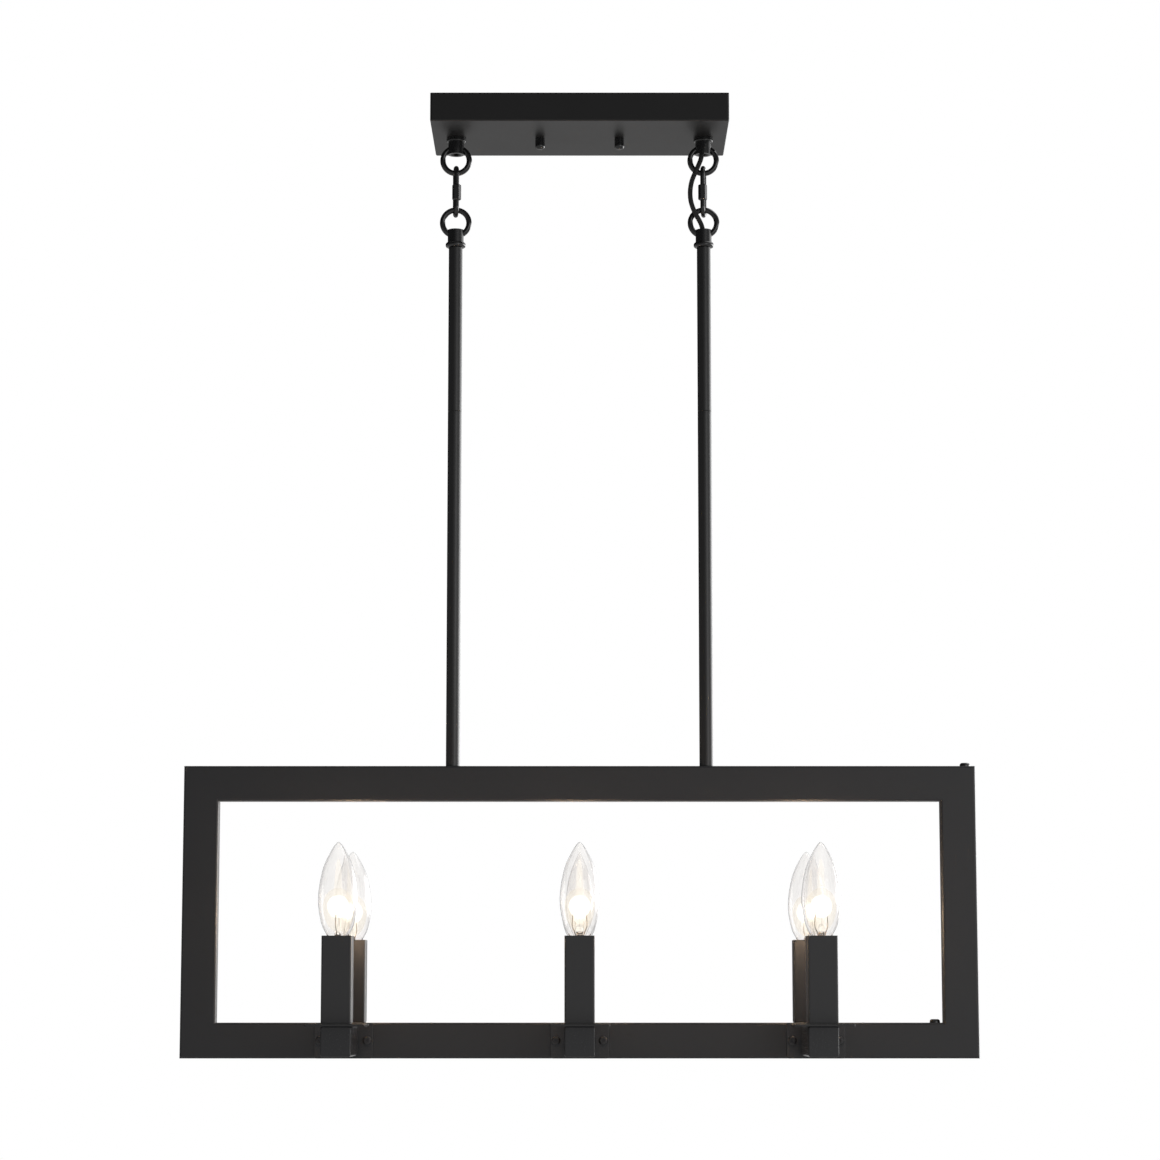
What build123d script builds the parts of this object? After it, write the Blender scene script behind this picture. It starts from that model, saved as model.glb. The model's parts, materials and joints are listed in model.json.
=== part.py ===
# Linear island pendant: a rectangular tube frame with six candles, hung on two rods from a ceiling canopy.
# Millimetres, +Z up. The origin is on the ceiling, at the centre of the outlet box screws.
# X runs along the frame, the front faces -Y.

from build123d import *
import os
from math import cos, pi, radians, sin, tan

os.makedirs("parts", exist_ok=True)

# ---------------------------------------------------------------- driving dimensions

# Canopy, a folded pan that is open towards the ceiling
canopy_length = 259.0
canopy_depth = 114.0
canopy_height = 25.0
canopy_sheet = 1.2
canopy_corner_radius = 1.6
canopy_fold_radius = 1.2

# Crossbar on the outlet box, and the studs that hold the canopy
crossbar_length = 116.0
crossbar_width = 20.0
crossbar_sheet = 2.5
crossbar_end_radius = 4.0
box_screw_spacing = 88.9
box_slot_length = 12.0
box_slot_width = 4.5
stud_spacing = 70.0
stud_diameter = 4.0
stud_tail = 6.0
cap_nut_diameter = 8.5
cap_nut_length = 10.0
cap_nut_tip_radius = 3.2
cap_nut_bore_depth = 6.5

# Ground screw and wire nuts
ground_screw_x = 20.0
ground_screw_y = -6.0
ground_screw_diameter = 3.5
ground_screw_head_width = 8.0
ground_screw_head_height = 3.0
wire_nut_mouth_diameter = 12.0
wire_nut_tip_diameter = 8.0
wire_nut_tip_radius = 1.5
wire_nut_length = 18.0
wire_nut_skirt = 6.0
wire_nut_bore = 6.0
wire_nut_bore_depth = 10.0
wire_nut_grip = 8.0
wire_nut_pitch = 17.0
wire_nut_distance = 22.0
wire_nut_drop = 12.5

# Loops on the canopy and on the rods: a cast ring on a hollow boss
ring_outside = 28.0
ring_wire = 4.8
boss_diameter = 14.0
thread_diameter = 9.7
cable_bore = 6.6
bore_mouth_chamfer = 1.6
canopy_collar_diameter = 17.0
canopy_collar_height = 3.5
canopy_collar_edge_radius = 0.9
canopy_boss_length = 14.8
canopy_ring_drop = 20.0
canopy_stem_length = 9.4
rod_collar_diameter = 17.6
rod_collar_height = 4.5
rod_collar_edge_radius = 1.9
rod_boss_length = 15.8
rod_ring_rise = 22.3
rod_stem_length = 10.0
ring_pitch = 56.4

# Hexagon nuts on the threaded stems and nipples
hex_nut_width = 12.0
hex_nut_height = 4.0
hex_nut_chamfer = 0.4

# Quick links and the nuts that close them
link_width = 17.0
link_wire = 4.1
link_play = 0.1
link_twist = 8.0
link_nut_width = 6.8
link_nut_length = 14.0
link_nut_top = 4.8
link_nut_chamfer = 0.7
link_gap_top = -0.9
link_gap_bottom = -6.2

# Rods
rod_spacing = 218.0
rod_diameter = 12.0
upper_rod_length = 146.5
lower_rod_length = 310.0
rod_end_chamfer = 0.3
nipple_length = 24.0
foot_nipple_rise = 14.0

# Frame of rectangular tube with mitred corners
frame_length = 678.0
frame_height = 248.0
tube_face = 30.0
tube_depth = 15.0
tube_wall = 1.2
tube_corner_radius = 1.8

# Plugs over the wiring holes
plug_head_diameter = 8.8
plug_head_height = 3.0
plug_dome_radius = 2.0
plug_shank_diameter = 6.0
plug_shank_length = 4.5
upper_plug_inset = 8.0
lower_plug_inset = 37.0

# Arms: square tube with an end cap and a screwed ear plate
candle_pitch = 200.0
candle_reach = 84.0
arm_face = 25.0
arm_wall = 1.2
arm_corner_radius = 1.8
arm_cap = 1.5
arm_end_radius = 0.9
ear_width = 50.0
ear_height = 30.0
ear_sheet = 1.5
ear_corner_radius = 2.5
ear_edge_radius = 0.5
ear_screw_spacing = 40.0
wire_hole = 10.0

# Button head screws through the ears
screw_diameter = 4.0
screw_head_diameter = 7.6
screw_head_height = 2.2
screw_head_radius = 1.5
screw_length = 7.0
screw_key_width = 2.5
screw_key_depth = 1.3

# Candle stack on each arm
drip_plate_width = 50.0
drip_plate_thickness = 2.0
drip_plate_corner_radius = 1.0
drip_plate_edge_radius = 0.8
seat_flange_inset = 0.6
seat_flange_thickness = 1.0
seat_height = 3.0
sleeve_width = 25.0
sleeve_wall = 1.2
sleeve_corner_radius = 1.5
sleeve_length = 71.0
candle_nipple_length = 42.0
candle_nipple_drop = 7.2
candle_nipple_bore = 6.6

# Candelabra sockets
socket_diameter = 19.5
socket_neck_diameter = 14.0
socket_neck_length = 10.0
socket_length = 39.0
socket_bore_depth = 17.6
socket_rim_drop = 6.5
socket_nipple_depth = 8.0

# Lamps
lamp_base_diameter = 11.9
lamp_base_length = 18.0
lamp_thread_pitch = 2.5
lamp_thread_depth = 0.45
lamp_thread_turns = 4
lamp_thread_start = 1.2
lamp_contact_diameter = 4.6
lamp_contact_height = 1.6
lamp_insulator_height = 2.6
lamp_insulator_diameter = 8.4
lamp_base_bore = 9.6
lamp_base_bore_depth = 11.0
lamp_glass_wall = 0.7
lamp_neck_drop = 6.0
lamp_neck_slope = 25.0
lamp_rim_radius = 8.8
lamp_cheek_height = 11.0
lamp_cheek_radius = 13.8
lamp_belly_height = 31.0
lamp_belly_radius = 16.5
lamp_shoulder_height = 55.0
lamp_shoulder_radius = 12.8
lamp_crown_height = 71.0
lamp_crown_radius = 5.6
lamp_tip_height = 77.4

# Supply cable, bare between the right hand loops. Its points stand off the rod's axis to the left and to
# the front, and the last value is the depth below the canopy.
cable_diameter = 4.2
cable_arc_share = 0.45
supply_route = [
    (-0.7, -0.7, 8.0),
    (-0.7, -0.7, 15.6),
    (-5.5, -5.6, 28.5),
    (-11.2, -8.6, 41.5),
    (-12.4, -8.8, 55.5),
    (-9.0, -6.9, 67.0),
    (-0.9, -0.85, 79.2),
    (-0.7, -0.7, 88.0),
    (-0.7, -0.7, 96.0),
]

# Cable inside the canopy, the rod and the frame
canopy_cable_top = 18.0
canopy_cable_radius = 7.0
canopy_cable_run = 15.0
frame_cable_drop = 24.0
frame_cable_rise = 7.0
foot_cable_radius = 12.0
frame_cable_radius = 20.0

# Conductors in the canopy
conductor_diameter = 1.8
conductor_pitch = 1.2
conductor_fan = 6.0
conductor_radius = 6.0

# Splice blocks in the bottom rail, and the leads from them to the candles
splice_length = 18.0
splice_width = 9.2
splice_height = 16.0
splice_edge_radius = 1.5
splice_offset = 33.0
splice_bottom = 3.0
lead_diameter = 2.4
lead_pitch = 2.7
lead_row_offset = 2.6
lead_height = 13.6
lead_exit_radius = 7.2
lead_rise_radius = 6.0

# Clearances
thread_clearance = 0.05
hole_clearance = 0.15
lamp_clearance = 0.1
link_nut_clearance = 0.05
seat_clearance = 0.2

# ---------------------------------------------------------------- derived places

canopy_underside = -canopy_height
canopy_floor = canopy_underside + canopy_sheet
canopy_boss_end = canopy_underside - canopy_boss_length
canopy_ring_z = canopy_underside - canopy_ring_drop
rod_ring_z = canopy_ring_z - ring_pitch
rod_top = rod_ring_z - rod_ring_rise
rod_boss_top = rod_top + rod_boss_length
rod_seam = rod_top - upper_rod_length
frame_top = rod_seam - lower_rod_length
frame_bottom = frame_top - frame_height
ring_radius = (ring_outside - ring_wire) / 2
upper_pivot_z = canopy_ring_z - ring_radius
lower_pivot_z = rod_ring_z + ring_radius
link_z = (upper_pivot_z + lower_pivot_z) / 2
link_end_radius = (link_width - link_wire) / 2
link_inside_length = upper_pivot_z - lower_pivot_z + ring_wire + 2 * link_play
link_half_straight = (link_inside_length + link_wire) / 2 - link_end_radius
top_rail_z = frame_top - tube_face / 2
bottom_rail_z = frame_bottom + tube_face / 2
frame_x = frame_length / 2
arm_top = bottom_rail_z + arm_face / 2
arm_start = tube_depth / 2 + ear_sheet
arm_end = candle_reach + sleeve_width / 2
drip_plate_top = arm_top + drip_plate_thickness
sleeve_bottom = drip_plate_top + seat_flange_thickness
sleeve_top = sleeve_bottom + sleeve_length
seat_top = sleeve_bottom + seat_height
nipple_bottom = arm_top - candle_nipple_drop
socket_rim = sleeve_top - socket_rim_drop
socket_bottom = socket_rim - socket_length
lamp_neck_z = sleeve_top - lamp_neck_drop
lamp_bottom = lamp_neck_z - lamp_base_length
thread_hole = thread_diameter + 2 * hole_clearance
rod_bore = thread_diameter + 2 * thread_clearance
seat_flange_width = sleeve_width - 2 * seat_flange_inset
seat_width = sleeve_width - 2 * (sleeve_wall + seat_clearance)
cable_offset_x = supply_route[0][0]
cable_y = supply_route[0][1]
cable_x = rod_spacing / 2 + cable_offset_x
supply_top_z = canopy_underside - supply_route[0][2]
supply_end_z = canopy_underside - supply_route[-1][2]
canopy_cable_z = canopy_underside + canopy_cable_top
canopy_cable_end = rod_spacing / 2 - canopy_cable_run
conductor_bend_x = canopy_cable_end - conductor_fan
wire_nut_mouth_x = canopy_cable_end - wire_nut_distance
wire_nut_z = -wire_nut_drop
ground_lead_z = -crossbar_sheet - conductor_diameter / 2 - hole_clearance
ground_head_z = ground_lead_z - conductor_diameter / 2 - hole_clearance
frame_cable_top_z = frame_top - frame_cable_drop
frame_cable_bottom_z = frame_bottom + frame_cable_rise
post_x = frame_x - tube_face / 2
lead_z = frame_bottom + lead_height

sides = {"left": -1, "right": 1}
columns = {"left": -candle_pitch, "centre": 0.0, "right": candle_pitch}
rows = {"front": -1, "rear": 1}
rod_places = [(sign * rod_spacing / 2, 0) for sign in sides.values()]
stud_places = [(sign * stud_spacing / 2, 0) for sign in sides.values()]
candle_places = [(x, direction * candle_reach) for direction in rows.values() for x in columns.values()]


def level(x, y, z):
    """Level plane with its origin at this place."""
    return Plane(origin=(x, y, z), x_dir=(1, 0, 0), z_dir=(0, 0, 1))


def facing(row, x, distance, z):
    """Plane square to the arms of a row, this far out from the frame's mid plane."""
    return Plane(origin=(x, row * distance, z), x_dir=(-row, 0, 0), z_dir=(0, row, 0))


def hexagon_radius(width):
    """Corner radius of a hexagon of this width across its flats."""
    return width / 2 / cos(pi / 6)


def arc_radii(route):
    """Largest arc that the two runs at each inner point of a route allow."""
    radii = []
    for before, corner, after in zip(route, route[1:], route[2:]):
        run_in = Vector(corner) - Vector(before)
        run_out = Vector(after) - Vector(corner)
        half_turn = radians(run_in.get_angle(run_out) / 2)
        radii.append(cable_arc_share * min(run_in.length, run_out.length) / tan(half_turn))
    return radii


# ---------------------------------------------------------------- canopy

with BuildPart() as canopy_pan:
    with BuildSketch(level(0, 0, canopy_underside)):
        RectangleRounded(canopy_length, canopy_depth, canopy_corner_radius)
    extrude(amount=canopy_height)
    fillet(canopy_pan.faces().sort_by(Axis.Z)[0].edges(), canopy_fold_radius)
    with BuildSketch(level(0, 0, canopy_floor)):
        RectangleRounded(
            canopy_length - 2 * canopy_sheet,
            canopy_depth - 2 * canopy_sheet,
            canopy_corner_radius - canopy_sheet,
        )
    extrude(amount=canopy_height, mode=Mode.SUBTRACT)
    with BuildSketch(level(0, 0, canopy_underside)):
        with Locations(*rod_places):
            Circle(thread_hole / 2)
        with Locations(*stud_places):
            Circle(stud_diameter / 2 + hole_clearance)
    extrude(amount=canopy_sheet, mode=Mode.SUBTRACT)
canopy_pan.part.label = "canopy_pan"
export_step(canopy_pan.part, "parts/canopy_pan.step")

with BuildPart() as crossbar:
    with BuildSketch(level(0, 0, -crossbar_sheet)):
        RectangleRounded(crossbar_length, crossbar_width, crossbar_end_radius)
        with Locations((-box_screw_spacing / 2, 0), (box_screw_spacing / 2, 0)):
            SlotOverall(box_slot_length, box_slot_width, mode=Mode.SUBTRACT)
        with Locations(*stud_places):
            Circle(stud_diameter / 2 + thread_clearance, mode=Mode.SUBTRACT)
        with Locations((ground_screw_x, ground_screw_y)):
            Circle(ground_screw_diameter / 2 + thread_clearance, mode=Mode.SUBTRACT)
    extrude(amount=crossbar_sheet)
crossbar.part.label = "crossbar"
export_step(crossbar.part, "parts/crossbar.step")

with BuildPart() as canopy_studs:
    with BuildSketch(Plane.XY):
        with Locations(*stud_places):
            Circle(stud_diameter / 2)
    extrude(amount=-(canopy_height + stud_tail))
canopy_studs.part.label = "canopy_studs"
export_step(canopy_studs.part, "parts/canopy_studs.step")

with BuildPart() as canopy_cap_nuts:
    with BuildSketch(level(0, 0, canopy_underside)):
        with Locations(*stud_places):
            Circle(cap_nut_diameter / 2)
    extrude(amount=-cap_nut_length)
    fillet(canopy_cap_nuts.faces().group_by(Axis.Z)[0].edges(), cap_nut_tip_radius)
    with BuildSketch(level(0, 0, canopy_underside)):
        with Locations(*stud_places):
            Circle(stud_diameter / 2 + thread_clearance)
    extrude(amount=-cap_nut_bore_depth, mode=Mode.SUBTRACT)
canopy_cap_nuts.part.label = "canopy_cap_nuts"
export_step(canopy_cap_nuts.part, "parts/canopy_cap_nuts.step")

with BuildPart() as ground_screw:
    with BuildSketch(level(ground_screw_x, ground_screw_y, 0)):
        Circle(ground_screw_diameter / 2)
    extrude(amount=ground_head_z)
    with BuildSketch(level(ground_screw_x, ground_screw_y, ground_head_z)):
        RegularPolygon(hexagon_radius(ground_screw_head_width), 6)
    extrude(amount=-ground_screw_head_height)
ground_screw.part.label = "ground_screw"
export_step(ground_screw.part, "parts/ground_screw.step")

with BuildPart() as wire_nuts:
    for nut_side in sides.values():
        nut_y = nut_side * wire_nut_pitch / 2
        nut_plane = level(wire_nut_mouth_x - wire_nut_length, nut_y, wire_nut_z)
        with BuildSketch(nut_plane):
            with BuildLine():
                Polyline(
                    (0, 0),
                    (0, wire_nut_tip_diameter / 2),
                    (wire_nut_length - wire_nut_skirt, wire_nut_mouth_diameter / 2),
                    (wire_nut_length, wire_nut_mouth_diameter / 2),
                    (wire_nut_length, wire_nut_bore / 2),
                    (wire_nut_length - wire_nut_bore_depth, wire_nut_bore / 2),
                    (wire_nut_length - wire_nut_bore_depth, 0),
                    close=True,
                )
            make_face()
        wire_nut = revolve(axis=Axis((0, nut_y, wire_nut_z), (1, 0, 0)))
        fillet(wire_nut.faces().sort_by(Axis.X)[0].edges(), wire_nut_tip_radius)
wire_nuts.part.label = "wire_nuts"
export_step(wire_nuts.part, "parts/wire_nuts.step")

for side, sign in sides.items():
    loop_x = sign * rod_spacing / 2
    with BuildPart() as canopy_loop:
        with BuildSketch(level(loop_x, 0, canopy_underside)):
            Circle(canopy_collar_diameter / 2)
        extrude(amount=-canopy_collar_height)
        fillet(canopy_loop.faces().sort_by(Axis.Z)[0].edges(), canopy_collar_edge_radius)
        with BuildSketch(level(loop_x, 0, canopy_boss_end)):
            Circle(boss_diameter / 2)
        extrude(amount=canopy_boss_length)
        with BuildSketch(level(loop_x, 0, canopy_underside)):
            Circle(thread_diameter / 2)
        extrude(amount=canopy_stem_length)
        with BuildSketch(level(loop_x, 0, canopy_ring_z)):
            with Locations((ring_radius, 0)):
                Circle(ring_wire / 2)
        revolve(axis=Axis((loop_x, 0, canopy_ring_z), (0, 1, 0)))
        with BuildSketch(level(loop_x, 0, canopy_boss_end)):
            Circle(cable_bore / 2)
        extrude(amount=canopy_boss_length + canopy_stem_length, mode=Mode.SUBTRACT)
        chamfer(
            canopy_loop.edges()
            .filter_by(GeomType.CIRCLE)
            .filter_by_position(Axis.Z, canopy_boss_end, canopy_boss_end)
            .sort_by(SortBy.RADIUS)[0],
            bore_mouth_chamfer,
        )
    canopy_loop.part.label = f"{side}_canopy_loop"
    export_step(canopy_loop.part, f"parts/{side}_canopy_loop.step")

with BuildPart() as loop_nuts:
    with BuildSketch(level(0, 0, canopy_floor)):
        with Locations(*rod_places):
            RegularPolygon(hexagon_radius(hex_nut_width), 6)
    extrude(amount=hex_nut_height)
    chamfer(loop_nuts.faces().filter_by(Axis.Z).edges(), hex_nut_chamfer)
    with BuildSketch(level(0, 0, canopy_floor)):
        with Locations(*rod_places):
            Circle(rod_bore / 2)
    extrude(amount=hex_nut_height, mode=Mode.SUBTRACT)
loop_nuts.part.label = "loop_nuts"
export_step(loop_nuts.part, "parts/loop_nuts.step")

# ---------------------------------------------------------------- quick links

for side, sign in sides.items():
    link_x = sign * rod_spacing / 2
    leg_x = -sign * sin(radians(link_twist))
    leg_y = -cos(radians(link_twist))
    link_plane = Plane(origin=(link_x, 0, link_z), x_dir=(leg_x, leg_y, 0), z_dir=(leg_y, -leg_x, 0))
    with BuildPart() as quick_link:
        with BuildLine(link_plane) as link_path:
            Line((link_end_radius, link_gap_top), (link_end_radius, link_half_straight))
            CenterArc((0, link_half_straight), link_end_radius, 0, 180)
            Line((-link_end_radius, link_half_straight), (-link_end_radius, -link_half_straight))
            CenterArc((0, -link_half_straight), link_end_radius, 180, 180)
            Line((link_end_radius, -link_half_straight), (link_end_radius, link_gap_bottom))
        with BuildSketch(Plane(link_path.line @ 0, z_dir=link_path.line % 0)):
            Circle(link_wire / 2)
        sweep()
    quick_link.part.label = f"{side}_link"
    export_step(quick_link.part, f"parts/{side}_link.step")

    leg_plane = level(
        link_x + leg_x * link_end_radius,
        leg_y * link_end_radius,
        link_z + link_nut_top - link_nut_length,
    )
    with BuildPart() as link_nut:
        with BuildSketch(leg_plane):
            RegularPolygon(hexagon_radius(link_nut_width), 6)
        extrude(amount=link_nut_length)
        chamfer(link_nut.faces().filter_by(Axis.Z).edges(), link_nut_chamfer)
        with BuildSketch(leg_plane):
            Circle(link_wire / 2 + link_nut_clearance)
        extrude(amount=link_nut_length, mode=Mode.SUBTRACT)
    link_nut.part.label = f"{side}_link_nut"
    export_step(link_nut.part, f"parts/{side}_link_nut.step")

# ---------------------------------------------------------------- rods

for side, sign in sides.items():
    rod_x = sign * rod_spacing / 2
    with BuildPart() as rod_loop:
        with BuildSketch(level(rod_x, 0, rod_top)):
            Circle(rod_collar_diameter / 2)
        extrude(amount=rod_collar_height)
        fillet(rod_loop.faces().filter_by(Axis.Z).edges(), rod_collar_edge_radius)
        with BuildSketch(level(rod_x, 0, rod_top)):
            Circle(boss_diameter / 2)
        extrude(amount=rod_boss_length)
        with BuildSketch(level(rod_x, 0, rod_top)):
            Circle(thread_diameter / 2)
        extrude(amount=-rod_stem_length)
        with BuildSketch(level(rod_x, 0, rod_ring_z)):
            with Locations((ring_radius, 0)):
                Circle(ring_wire / 2)
        revolve(axis=Axis((rod_x, 0, rod_ring_z), (0, 1, 0)))
        with BuildSketch(level(rod_x, 0, rod_boss_top)):
            Circle(cable_bore / 2)
        extrude(amount=-(rod_boss_length + rod_stem_length), mode=Mode.SUBTRACT)
        chamfer(
            rod_loop.edges()
            .filter_by(GeomType.CIRCLE)
            .filter_by_position(Axis.Z, rod_boss_top, rod_boss_top)
            .sort_by(SortBy.RADIUS)[0],
            bore_mouth_chamfer,
        )
    rod_loop.part.label = f"{side}_rod_loop"
    export_step(rod_loop.part, f"parts/{side}_rod_loop.step")

    with BuildPart() as upper_rod:
        with BuildSketch(level(rod_x, 0, rod_seam)):
            Circle(rod_diameter / 2)
            Circle(rod_bore / 2, mode=Mode.SUBTRACT)
        extrude(amount=upper_rod_length)
        chamfer(upper_rod.edges().filter_by(GeomType.CIRCLE).group_by(SortBy.RADIUS)[-1], rod_end_chamfer)
    upper_rod.part.label = f"{side}_upper_rod"
    export_step(upper_rod.part, f"parts/{side}_upper_rod.step")

    with BuildPart() as lower_rod:
        with BuildSketch(level(rod_x, 0, frame_top)):
            Circle(rod_diameter / 2)
            Circle(rod_bore / 2, mode=Mode.SUBTRACT)
        extrude(amount=lower_rod_length)
        chamfer(lower_rod.edges().filter_by(GeomType.CIRCLE).group_by(SortBy.RADIUS)[-1], rod_end_chamfer)
    lower_rod.part.label = f"{side}_lower_rod"
    export_step(lower_rod.part, f"parts/{side}_lower_rod.step")

with BuildPart() as rod_nipples:
    for nipple_z in (rod_seam - nipple_length / 2, frame_top + foot_nipple_rise - nipple_length):
        with BuildSketch(level(0, 0, nipple_z)):
            with Locations(*rod_places):
                Circle(thread_diameter / 2)
                Circle(cable_bore / 2, mode=Mode.SUBTRACT)
        extrude(amount=nipple_length)
rod_nipples.part.label = "rod_nipples"
export_step(rod_nipples.part, "parts/rod_nipples.step")

# ---------------------------------------------------------------- frame

tube_inside = (tube_face - 2 * tube_wall, tube_depth - 2 * tube_wall, tube_corner_radius - tube_wall)

with BuildPart() as top_rail:
    with BuildSketch(Plane.YZ.offset(-frame_x)):
        with Locations((0, top_rail_z)):
            RectangleRounded(tube_depth, tube_face, tube_corner_radius)
            RectangleRounded(tube_inside[1], tube_inside[0], tube_inside[2], mode=Mode.SUBTRACT)
    extrude(amount=frame_length)
    split(bisect_by=Plane(origin=(-frame_x, 0, frame_top), z_dir=(1, 0, 1)), keep=Keep.TOP)
    split(bisect_by=Plane(origin=(frame_x, 0, frame_top), z_dir=(-1, 0, 1)), keep=Keep.TOP)
    with BuildSketch(level(0, 0, frame_top)):
        with Locations(*rod_places):
            Circle(thread_hole / 2)
        with Locations((frame_x - upper_plug_inset, 0)):
            Circle(plug_shank_diameter / 2 + thread_clearance)
    extrude(amount=-tube_wall, mode=Mode.SUBTRACT)
top_rail.part.label = "top_rail"
export_step(top_rail.part, "parts/top_rail.step")

with BuildPart() as bottom_rail:
    with BuildSketch(Plane.YZ.offset(-frame_x)):
        with Locations((0, bottom_rail_z)):
            RectangleRounded(tube_depth, tube_face, tube_corner_radius)
            RectangleRounded(tube_inside[1], tube_inside[0], tube_inside[2], mode=Mode.SUBTRACT)
    extrude(amount=frame_length)
    split(bisect_by=Plane(origin=(-frame_x, 0, frame_bottom), z_dir=(1, 0, -1)), keep=Keep.TOP)
    split(bisect_by=Plane(origin=(frame_x, 0, frame_bottom), z_dir=(-1, 0, -1)), keep=Keep.TOP)
    with BuildSketch(level(0, 0, frame_bottom + tube_face)):
        with Locations((frame_x - lower_plug_inset, 0)):
            Circle(plug_shank_diameter / 2 + thread_clearance)
    extrude(amount=-tube_wall, mode=Mode.SUBTRACT)
    for candle_x in columns.values():
        with BuildSketch(facing(-1, candle_x, tube_depth / 2, bottom_rail_z)):
            Circle(wire_hole / 2)
            with Locations((-ear_screw_spacing / 2, 0), (ear_screw_spacing / 2, 0)):
                Circle(screw_diameter / 2 + thread_clearance)
        extrude(amount=-tube_depth, mode=Mode.SUBTRACT)
bottom_rail.part.label = "bottom_rail"
export_step(bottom_rail.part, "parts/bottom_rail.step")

for side, sign in sides.items():
    with BuildPart() as post:
        with BuildSketch(level(sign * (frame_x - tube_face / 2), 0, frame_bottom)):
            RectangleRounded(tube_face, tube_depth, tube_corner_radius)
            RectangleRounded(tube_inside[0], tube_inside[1], tube_inside[2], mode=Mode.SUBTRACT)
        extrude(amount=frame_height)
        split(bisect_by=Plane(origin=(sign * frame_x, 0, frame_top), z_dir=(sign, 0, -1)), keep=Keep.TOP)
        split(bisect_by=Plane(origin=(sign * frame_x, 0, frame_bottom), z_dir=(sign, 0, 1)), keep=Keep.TOP)
    post.part.label = f"{side}_post"
    export_step(post.part, f"parts/{side}_post.step")

plug_places = (
    (frame_x - upper_plug_inset, frame_top),
    (frame_x - lower_plug_inset, frame_bottom + tube_face),
)
with BuildPart() as hole_plugs:
    for plug_x, plug_z in plug_places:
        with BuildSketch(level(plug_x, 0, plug_z)):
            Circle(plug_head_diameter / 2)
        plug_head = extrude(amount=plug_head_height)
        fillet(plug_head.faces().sort_by(Axis.Z)[-1].edges(), plug_dome_radius)
        with BuildSketch(level(plug_x, 0, plug_z)):
            Circle(plug_shank_diameter / 2)
        extrude(amount=-plug_shank_length)
hole_plugs.part.label = "hole_plugs"
export_step(hole_plugs.part, "parts/hole_plugs.step")

# ---------------------------------------------------------------- arms

for row, direction in rows.items():
    for column, candle_x in columns.items():
        with BuildPart() as arm:
            with BuildSketch(facing(direction, candle_x, tube_depth / 2, bottom_rail_z)):
                RectangleRounded(ear_width, ear_height, ear_corner_radius)
            extrude(amount=ear_sheet)
            fillet(arm.faces().group_by(Axis.Y)[-1 if direction > 0 else 0].edges(), ear_edge_radius)
            with BuildSketch(facing(direction, candle_x, arm_start, bottom_rail_z)):
                RectangleRounded(arm_face, arm_face, arm_corner_radius)
            extrude(amount=arm_end - arm_start)
            fillet(arm.faces().group_by(Axis.Y)[-1 if direction > 0 else 0].edges(), arm_end_radius)
            with BuildSketch(facing(direction, candle_x, arm_start, bottom_rail_z)):
                RectangleRounded(arm_face - 2 * arm_wall, arm_face - 2 * arm_wall, arm_corner_radius - arm_wall)
            extrude(amount=arm_end - arm_start - arm_cap, mode=Mode.SUBTRACT)
            with BuildSketch(facing(direction, candle_x, tube_depth / 2, bottom_rail_z)):
                Circle(wire_hole / 2)
                with Locations((-ear_screw_spacing / 2, 0), (ear_screw_spacing / 2, 0)):
                    Circle(screw_diameter / 2 + hole_clearance)
            extrude(amount=ear_sheet, mode=Mode.SUBTRACT)
            with BuildSketch(level(candle_x, direction * candle_reach, arm_top)):
                Circle(thread_hole / 2)
            extrude(amount=-arm_wall, mode=Mode.SUBTRACT)
        arm.part.label = f"{row}_{column}_arm"
        export_step(arm.part, f"parts/{row}_{column}_arm.step")

with BuildPart() as arm_screws:
    for direction in rows.values():
        for candle_x in columns.values():
            for screw_x in (candle_x - ear_screw_spacing / 2, candle_x + ear_screw_spacing / 2):
                with BuildSketch(facing(direction, screw_x, arm_start, bottom_rail_z)):
                    Circle(screw_head_diameter / 2)
                extrude(amount=screw_head_height)
    fillet(arm_screws.faces().group_by(Axis.Y)[0].edges(), screw_head_radius)
    fillet(arm_screws.faces().group_by(Axis.Y)[-1].edges(), screw_head_radius)
    for direction in rows.values():
        for candle_x in columns.values():
            for screw_x in (candle_x - ear_screw_spacing / 2, candle_x + ear_screw_spacing / 2):
                with BuildSketch(facing(direction, screw_x, arm_start, bottom_rail_z)):
                    Circle(screw_diameter / 2)
                extrude(amount=-(screw_length - screw_head_height))
                with BuildSketch(facing(direction, screw_x, arm_start + screw_head_height, bottom_rail_z)):
                    RegularPolygon(hexagon_radius(screw_key_width), 6)
                extrude(amount=-screw_key_depth, mode=Mode.SUBTRACT)
arm_screws.part.label = "arm_screws"
export_step(arm_screws.part, "parts/arm_screws.step")

# ---------------------------------------------------------------- candles

with BuildPart() as drip_plates:
    with BuildSketch(level(0, 0, arm_top)):
        with Locations(*candle_places):
            RectangleRounded(drip_plate_width, drip_plate_width, drip_plate_corner_radius)
    extrude(amount=drip_plate_thickness)
    fillet(drip_plates.faces().group_by(Axis.Z)[-1].edges(), drip_plate_edge_radius)
    with BuildSketch(level(0, 0, arm_top)):
        with Locations(*candle_places):
            Circle(thread_hole / 2)
    extrude(amount=drip_plate_thickness, mode=Mode.SUBTRACT)
drip_plates.part.label = "drip_plates"
export_step(drip_plates.part, "parts/drip_plates.step")

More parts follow.
